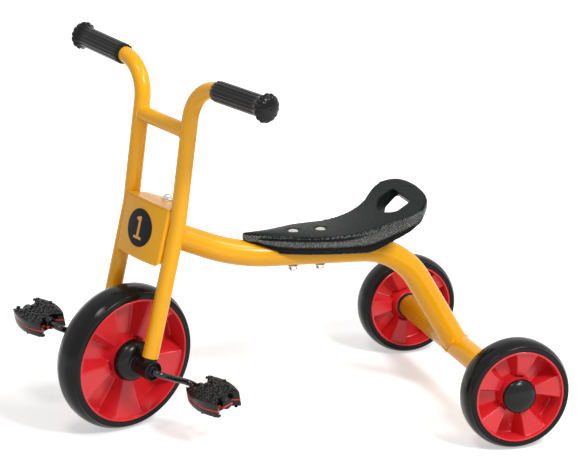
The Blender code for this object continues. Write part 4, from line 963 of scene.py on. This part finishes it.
def make_grip(side):
    """A ribbed sleeve whose ribs run out through the flare. Its radius is the section's radius less
    a groove that is narrow in angle, deep along the sleeve and fading over the end dome."""
    along = GRIP_START - FORK_LEG_HALF_SPACING
    start = leg_corners(SIGN[side])[2] + [SIGN[side] * along, 0.0, along * math.tan(HANDLE_TILT)]
    axis = SIGN[side] * math.cos(HANDLE_TILT) * FORK.x + math.sin(HANDLE_TILT) * FORK.z
    body_end, dome, bore_end, pin = GRIP_LENGTH - 0.0300, 0.0120, 0.0900, 0.0011
    bore = [(0.0, bore_end), (GRIP_BORE, bore_end), (GRIP_BORE, 0.0), (0.0128, 0.0), (GRIP_RADIUS - 0.0010, 0.0)]
    sleeve = stacked(GRIP_RADIUS, np.linspace(0.0012, body_end - 0.001, 12))
    reach = np.linspace(0, 1, 22)
    flare = stacked(GRIP_RADIUS + (GRIP_FLARE_RADIUS - GRIP_RADIUS) * reach**2.4, body_end + 0.0180 * reach)
    end = quarter(20, GRIP_FLARE_RADIUS, dome, (0.0, GRIP_LENGTH - dome), (0.85, 1.1))[1:]
    end[:, 0] = np.maximum(end[:, 0], pin)
    pinhole = [(pin, GRIP_LENGTH - 0.0020), (0.0, GRIP_LENGTH - 0.0021)]
    profile = np.concatenate([bore, sleeve, flare, end, pinhole])
    radius, height = profile[:, :1], profile[:, 1:]
    angle = np.linspace(0, 2 * math.pi, 336, endpoint=False)
    groove = np.abs(np.sin(angle * GRIP_RIBS / 2)) ** 7
    fade = smooth_step((GRIP_LENGTH + 0.0010 - height) / dome) * np.where(radius < 0.0140, 0.0, 1.0)
    deep = 0.0011 + 0.0007 * smooth_step((height - body_end) / 0.018)
    slots = np.exp(-(((height - (GRIP_LENGTH - 0.0075)) / 0.0030) ** 2)) * (radius > 0.006)
    slot_at = np.clip(np.cos(angle * 3 + 0.4), 0, 1) ** 60
    section = radius - deep * fade * groove - 0.0012 * slots * slot_at
    place = Place(FORK(start), axis, FORK.z)
    grip = surface("grip_shell_" + side, about_x(height, section, angle), place, sharp=45)
    fitted(grip, GRIP_RUBBER, "fork", "grip_" + side)


# Saddle

SADDLE_NOSE = 0.3610
SADDLE_LENGTH = 0.2845
SADDLE_TOP = 0.2948
SADDLE_RISE_START = 0.1330
SADDLE_RISE_RADIUS = 0.1850
SADDLE_SLOPE = math.radians(33.0)
SADDLE_TAIL_ROUND = 0.0075
SADDLE_BOLT_Y = {"front": -0.2795, "rear": -0.2352}
SADDLE_ACROSS = 40
GRAB_REAR_Y = -0.1045
GRAB_MIDDLE_Y = -0.1215
GRAB_PLAIN_HALF = (0.044, 0.028)
RECESS_DEPTH = 0.0050

# Half width of the top at each distance from the nose, and height of the underside there
SADDLE_WIDTHS = (
    (0.000, 0.0035), (0.004, 0.0072), (0.012, 0.0112), (0.042, 0.0212), (0.082, 0.0380), (0.122, 0.0478),
    (0.172, 0.0545), (0.200, 0.0605), (0.2185, 0.0705), (0.2325, 0.0855), (0.2410, 0.0915), (0.2500, 0.0925),
)
SADDLE_LOWER = (
    (0.000, 0.2880), (0.022, 0.2740), (0.044, 0.2655), (0.062, 0.2630), (0.182, 0.2630),
    (0.202, 0.2695), (0.222, 0.2840), (0.242, 0.3035), (0.262, 0.3240), (0.2855, 0.3450),
)

# The side below the top edge: share of the way down, and how far out it stands in bulges
SADDLE_SWELL = (
    (0.0, -0.9), (0.09, -0.85), (0.15, -0.35), (0.22, 0.30), (0.31, 0.80),
    (0.43, 1.0), (0.56, 0.82), (0.72, 0.22), (0.88, -0.75), (1.0, -1.7),
)


def through(points, where):
    """Values on a smooth line through the points, whose slope at each is the mean of its neighbours'."""
    at, value = np.array(points).T
    step = np.diff(value) / np.diff(at)
    slope = np.concatenate([step[:1], (step[1:] + step[:-1]) / 2, step[-1:]])
    slope[1:-1][step[1:] * step[:-1] <= 0] = 0.0
    i = np.clip(np.searchsorted(at, where) - 1, 0, len(at) - 2)
    width = at[i + 1] - at[i]
    t = np.clip((where - at[i]) / width, 0.0, 1.0)
    near = (1 - smooth_step(t)) * value[i] + (t**3 - 2 * t**2 + t) * width * slope[i]
    return near + smooth_step(t) * value[i + 1] + (t**3 - t**2) * width * slope[i + 1]


def saddle_height(distance):
    """Height of the middle line: level, then an arc of 185 mm, then a slope of 33 degrees."""
    run = np.maximum(distance - SADDLE_RISE_START, 0.0)
    turn = SADDLE_RISE_RADIUS * math.sin(SADDLE_SLOPE)
    arc = np.minimum(run, turn)
    height = SADDLE_TOP + SADDLE_RISE_RADIUS - np.sqrt(SADDLE_RISE_RADIUS**2 - arc**2)
    height = height + np.maximum(run - turn, 0.0) * math.tan(SADDLE_SLOPE)
    return height + 0.0010 * np.maximum(1 - distance / 0.0800, 0.0) ** 2


def saddle_sections():
    """Closed cross-sections of the saddle as a grid. Each is a slightly crowned top that ends in a
    shallow groove, a bulged shoulder below it, a skirt that tucks in and a level underside. Toward
    the tail each is swept back from its sides, and its outer corners are pulled in further."""
    length = SADDLE_LENGTH - SADDLE_TAIL_ROUND
    distance = length * np.linspace(0, 1, 110)[:, None] ** 0.92
    left = length - distance
    fade = np.maximum(1 - left / 0.1000, 0.0) ** 1.4
    width = through(SADDLE_WIDTHS, distance - 0.0270 * fade)
    crown = 0.0034 * (1 - distance / SADDLE_LENGTH)
    bulge = 0.0050 * smooth_step(distance / 0.03) * smooth_step(left / 0.04 + 0.2)
    share = np.linspace(0, 1, SADDLE_ACROSS)
    reach = distance - fade * (0.0110 * share**2 + 0.0130 * share**6)
    top = saddle_height(reach) - crown * share**2
    low = np.minimum(through(SADDLE_LOWER, np.clip(reach, 0, None)), top - 2 * SADDLE_TAIL_ROUND)
    fall = np.linspace(0, 1, 30)[1:-1]
    side_x = width + bulge * np.interp(fall, *np.array(SADDLE_SWELL).T)
    side_z = top[:, -1:] + (low[:, -1:] - top[:, -1:]) * fall
    under_row = stacked(share * (width - np.minimum(0.0030, width / 3)), reach, low)[:, ::-1]
    right = [stacked(share * width, reach, top), stacked(side_x, reach[:, -1:], side_z), under_row]
    return mirrored(np.concatenate(right, axis=1), (-1.0, 1.0, 1.0), 0)


def round_tail(grid):
    """Rows that carry the last section on round the tail: each point moves toward the line half way
    between top and underside by one less the cosine of a quarter turn, and backward by its sine."""
    last = grid[-1]
    side = grid.shape[1] // 2 + 1
    half = last[:side]

    def whole(row):
        """A row across the right half, carried down the side and back, and mirrored to the left."""
        down = np.repeat(row[-1:], side - 2 * SADDLE_ACROSS, axis=0)
        return mirrored(np.concatenate([row, down, row[::-1]]), (-1.0, 1.0, 1.0), 0)

    spine = (half[:SADDLE_ACROSS] + half[-SADDLE_ACROSS:][::-1]) / 2
    slope = np.gradient(spine, axis=0)
    outward = stacked(-slope[:, 1] / np.maximum(slope[:, 0], 1e-5), 1.0, math.tan(SADDLE_SLOPE))
    outward /= np.linalg.norm(outward, axis=1)[:, None]
    middle, turn = whole(spine), np.linspace(0, math.pi / 2, 8)[1:, None, None]
    rows = middle + (last - middle) * np.cos(turn) + whole(outward) * SADDLE_TAIL_ROUND * np.sin(turn)
    return np.concatenate([grid, rows])


def make_saddle():
    """The lofted sections with the grab hole, the recesses and the channel for the tube cut out,
    remeshed evenly and then relaxed, which rounds every edge."""
    grid = round_tail(saddle_sections())
    nose = np.broadcast_to(grid[:1].mean(axis=1, keepdims=True), grid[:1].shape)
    grid = np.concatenate([nose, grid]) + [0.0, REAR_AXLE_Y - SADDLE_NOSE, 0.0]
    saddle = surface("saddle_shell", grid, sharp=60)
    cutters = [make_grab_cutter(), swept("channel_cutter", main_path(), MAIN_TUBE_RADIUS + 0.0004, (1, 0, 0), ROW, 64)]
    for y in SADDLE_BOLT_Y.values():
        place = ROW.moved(y=REAR_AXLE_Y + y, z=SADDLE_TOP - RECESS_DEPTH).upright()
        profile = [(0.0, 0.0), (0.0100, 0.0), (0.0100, 0.02), (0.0, 0.02)]
        cutters.append(revolved("recess_cutter", profile, place, 48))
    for cutter in cutters:
        modified(saddle, "BOOLEAN", operation="DIFFERENCE", solver="MANIFOLD", object=cutter)
    applied(saddle)
    for cutter in cutters:
        bpy.data.objects.remove(cutter)
    modified(saddle, "REMESH", mode="VOXEL", voxel_size=0.0013)
    modified(saddle, "SMOOTH", factor=0.5, iterations=12)
    applied(saddle)
    saddle.data.shade_smooth()
    saddle.data.attributes.new("band", "FLOAT", "POINT").data.foreach_set("value", grain_band(saddle.data))
    fitted(saddle, SADDLE_PLASTIC, "frame", "saddle")


def grain_band(mesh):
    """Where the grain is seen, and where its tips are painted paler as a painted highlight: one on the
    sides, which the normal's height tells, and nought on the top, on the underside and in the box round the grab hole."""
    x, y, _ = read_vertices(mesh, "co").T
    up = read_vertices(mesh, "normal")[:, 2]
    hole = np.maximum(abs(x) / GRAB_PLAIN_HALF[0], abs(y - REAR_AXLE_Y - GRAB_MIDDLE_Y) / GRAB_PLAIN_HALF[1])
    return smooth_step((0.80 - up) / 0.25) * smooth_step((up + 0.45) / 0.50) * smooth_step((hole - 1.0) / 0.08)


def make_grab_cutter():
    """The hand hole square to the slope: a straight rear edge, a bowed front edge, round corners."""
    half, rear, radius, slant, reach = 0.0400, 0.0210, 0.0075, math.radians(36.0), 0.08
    corner = quarter(10, radius, radius, (half - radius, rear - radius))
    across = np.linspace(-half, half, 33)
    bow = stacked(across, -rear + 0.0170 * (across / half) ** 2)
    outline = np.concatenate([corner, corner[::-1] * [-1.0, 1.0], bow])
    middle = GRAB_REAR_Y - rear * math.cos(slant)
    height = float(saddle_height(np.array([middle + SADDLE_NOSE]))[0])
    up = np.array([0.0, -math.sin(slant), math.cos(slant)])
    return prism("grab_cutter", outline, -reach, reach, Place((0.0, REAR_AXLE_Y + middle, height), ROW.x, up))


# Fasteners and plugs


def hexagon(across_flats):
    angle = np.radians(np.arange(6) * 60 + 30)
    return stacked(np.cos(angle), np.sin(angle)) * across_flats / math.sqrt(3)


def make_saddle_bolt(name, y):
    """A domed bolt head sunk in the saddle, with its shank down to its nut, and the nut on a washer."""
    seat = 0.2901
    at = ROW.moved(y=REAR_AXLE_Y + y)
    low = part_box("saddle_bolt_" + name)[0].z - seat
    shank = [(0.0, low), (0.0034, low), (0.0040, low + 0.0008), (0.0040, 0.0), (0.0086, 0.0)]
    profile = np.concatenate([shank, quarter(12, 0.0088, 0.0048, (0.0, 0.0006))])
    bolt = revolved("saddle_bolt_shell_" + name, profile, at.moved(z=seat).upright(), sharp=50)
    fitted(bolt, ZINC, "frame", "saddle_bolt_" + name)
    low, high = (corner.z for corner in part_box("saddle_nut_" + name))
    nut = prism("nut_body", hexagon(0.0128), low, high, at, 0.0006, 2)
    profile = [(0.0040, 0.0), (0.0080, 0.0), (0.0080, 0.0010), (0.0040, 0.0010)]
    washer = revolved("washer", profile, at.moved(z=high - 0.0009).upright(), 48, closed=True)
    fitted(joined("saddle_nut_shell_" + name, [nut, washer]), ZINC, "frame", "saddle_nut_" + name)


def make_king_nut():
    """The domed nut on top of the bracket: a washer, a low hexagon and a round crown."""
    up, base = FORK.upright(), BRACKET_TOP + 0.0003
    profile = [(0.0, 0.0), (0.0084, 0.0), (0.0086, 0.0003), (0.0084, 0.0009), (0.0, 0.0009)]
    washer = revolved("cap_washer", np.array(profile) + [0.0, base], up)
    skirt = prism("cap_hexagon", hexagon(0.0144), base + 0.0008, base + 0.0050, FORK, 0.0006, 2)
    crown = quarter(14, 0.0064, 0.0057, (0.0, base + 0.0048), (0.9, 1.0))
    crown = revolved("cap_crown", np.concatenate([[(0.0, base + 0.0044)], crown]), up)
    fitted(joined("king_nut_shell", [washer, skirt, crown]), ZINC, "fork", "king_nut")


def make_axle_plug(side):
    """The flanged bush pressed into the end of the axle tube, just clear of the wheel's hub."""
    bore, radius, stem, stem_length = 0.0063, 0.02275, 0.0172, 0.028
    face = REAR_WHEEL_SIDE - REAR_HUB_HALF - 0.0005
    back = face - 0.0045
    profile = [(bore, face), (radius - 0.0012, face), (radius - 0.0003, face - 0.0003), (radius, face - 0.0012)]
    profile += [(radius, back + 0.0006), (radius - 0.0006, back), (stem, back)]
    profile += [(stem, back - stem_length), (bore, back - stem_length)]
    place = Place(REAR.origin, ROW.x * SIGN[side], ROW.z)
    plug = revolved("axle_plug_shell_" + side, profile, place, 80, closed=True, sharp=50)
    fitted(plug, BLACK_PLASTIC, "frame", "axle_plug_" + side)


def finish_carried_nodes():
    """The plain nodes that stay as they are, hidden inside the bearings, get their finishes."""
    carried = {
        "head_bush_top": BLACK_PLASTIC,
        "head_bush_bottom": BLACK_PLASTIC,
        "king_bolt": ZINC,
        "rear_axle": AXLE_STEEL,
        "rear_push_nut_left": ZINC,
        "rear_push_nut_right": ZINC,
    }
    for name, material in carried.items():
        node = frame["nodes"][name]
        node.data.materials.clear()
        node.data.materials.append(material)


# Stage


def background_rays(tree):
    """One for rays from the camera and for mirrored or transmitted ones, and nought for the rest."""
    path = add_node(tree, "LightPath").outputs
    total = calculate(tree, "MAXIMUM", path["Is Camera Ray"], path["Is Glossy Ray"])
    return calculate(tree, "MAXIMUM", total, path["Is Transmission Ray"])


def paper_material():
    """White paper that takes the shadow and, seen directly or in a mirror, glows toward plain white
    away from the object."""
    paper = bpy.data.materials.new("white paper")
    paper.use_nodes = True
    tree = paper.node_tree
    distance = add_node(tree, "VectorMath", {0: object_place(tree)}, operation="LENGTH").outputs["Value"]
    inputs = {"From Min": 0.45, "From Max": 1.2, "To Min": PAPER_GLOW, "To Max": 1.0, "Value": distance}
    glow = add_node(tree, "MapRange", inputs, interpolation_type="SMOOTHSTEP").outputs["Result"]
    values = {
        "Base Color": (0.93, 0.93, 0.93, 1.0), "Roughness": 1.0, "Specular IOR Level": 0.0,
        "Emission Color": (1.0, 1.0, 1.0, 1.0),
        "Emission Strength": calculate(tree, "MULTIPLY", glow, background_rays(tree)),
    }
    for label, value in values.items():
        put(tree, tree.nodes["Principled BSDF"].inputs[label], value)
    return paper


def make_stage():
    """A white floor, a world of even light, a key from the camera's right and two broad lamps overhead."""
    corners = np.array([(-1, -1, 0), (1, -1, 0), (1, 1, 0), (-1, 1, 0)]) * FLOOR_REACH
    floor = mesh_from("floor", corners, [[0, 1, 2, 3]])
    floor.data.materials.append(paper_material())
    world = bpy.data.worlds.new("studio")
    bpy.context.scene.world = world
    world.use_nodes = True
    tree = world.node_tree
    inputs = {"To Min": WORLD_LEVEL, "To Max": 1.0, "Value": background_rays(tree)}
    level = add_node(tree, "MapRange", inputs).outputs["Result"]
    background = tree.nodes["Background"].inputs
    put(tree, background["Color"], (1.0, 1.0, 1.0, 1.0))
    put(tree, background["Strength"], level)
    for name, where, size, power in LAMPS:
        lamp = bpy.data.lights.new(name, "AREA")
        lamp.shape = "DISK"
        lamp.size = size
        lamp.energy = power
        light = linked(name, lamp)
        light.location = where
        light.rotation_euler = (Vector(LAMP_TARGET) - Vector(where)).to_track_quat("-Z", "Y").to_euler()


def make_camera():
    """The photograph's camera, from its solved place and axes."""
    data = bpy.data.cameras.new("camera")
    data.lens = CAMERA_LENS
    data.sensor_width = SENSOR_WIDTH
    data.clip_end = 50.0
    camera = linked("camera", data)
    right, back = Vector(CAMERA_RIGHT).normalized(), Vector(CAMERA_BACK).normalized()
    up = back.cross(right).normalized()
    turn = Matrix((right, up, back)).transposed().to_4x4()
    place = Vector(CAMERA_PLACE) + Vector((0.0, REAR_AXLE_Y, 0.0))
    camera.matrix_world = Matrix.Translation(place) @ turn
    bpy.context.scene.camera = camera
    bpy.context.scene.view_settings.view_transform = "Standard"


make_tubes()
make_bracket()
make_badge()
make_front_wheel()
make_crank_rod()
for each in ("left", "right"):
    make_rear_wheel(each)
    make_bearing_plug(each)
    make_pedal(each)
    make_grip(each)
make_saddle()
for each, bolt_y in SADDLE_BOLT_Y.items():
    make_saddle_bolt(each, bolt_y)
make_king_nut()
for each in ("left", "right"):
    make_axle_plug(each)
finish_carried_nodes()
make_stage()
make_camera()
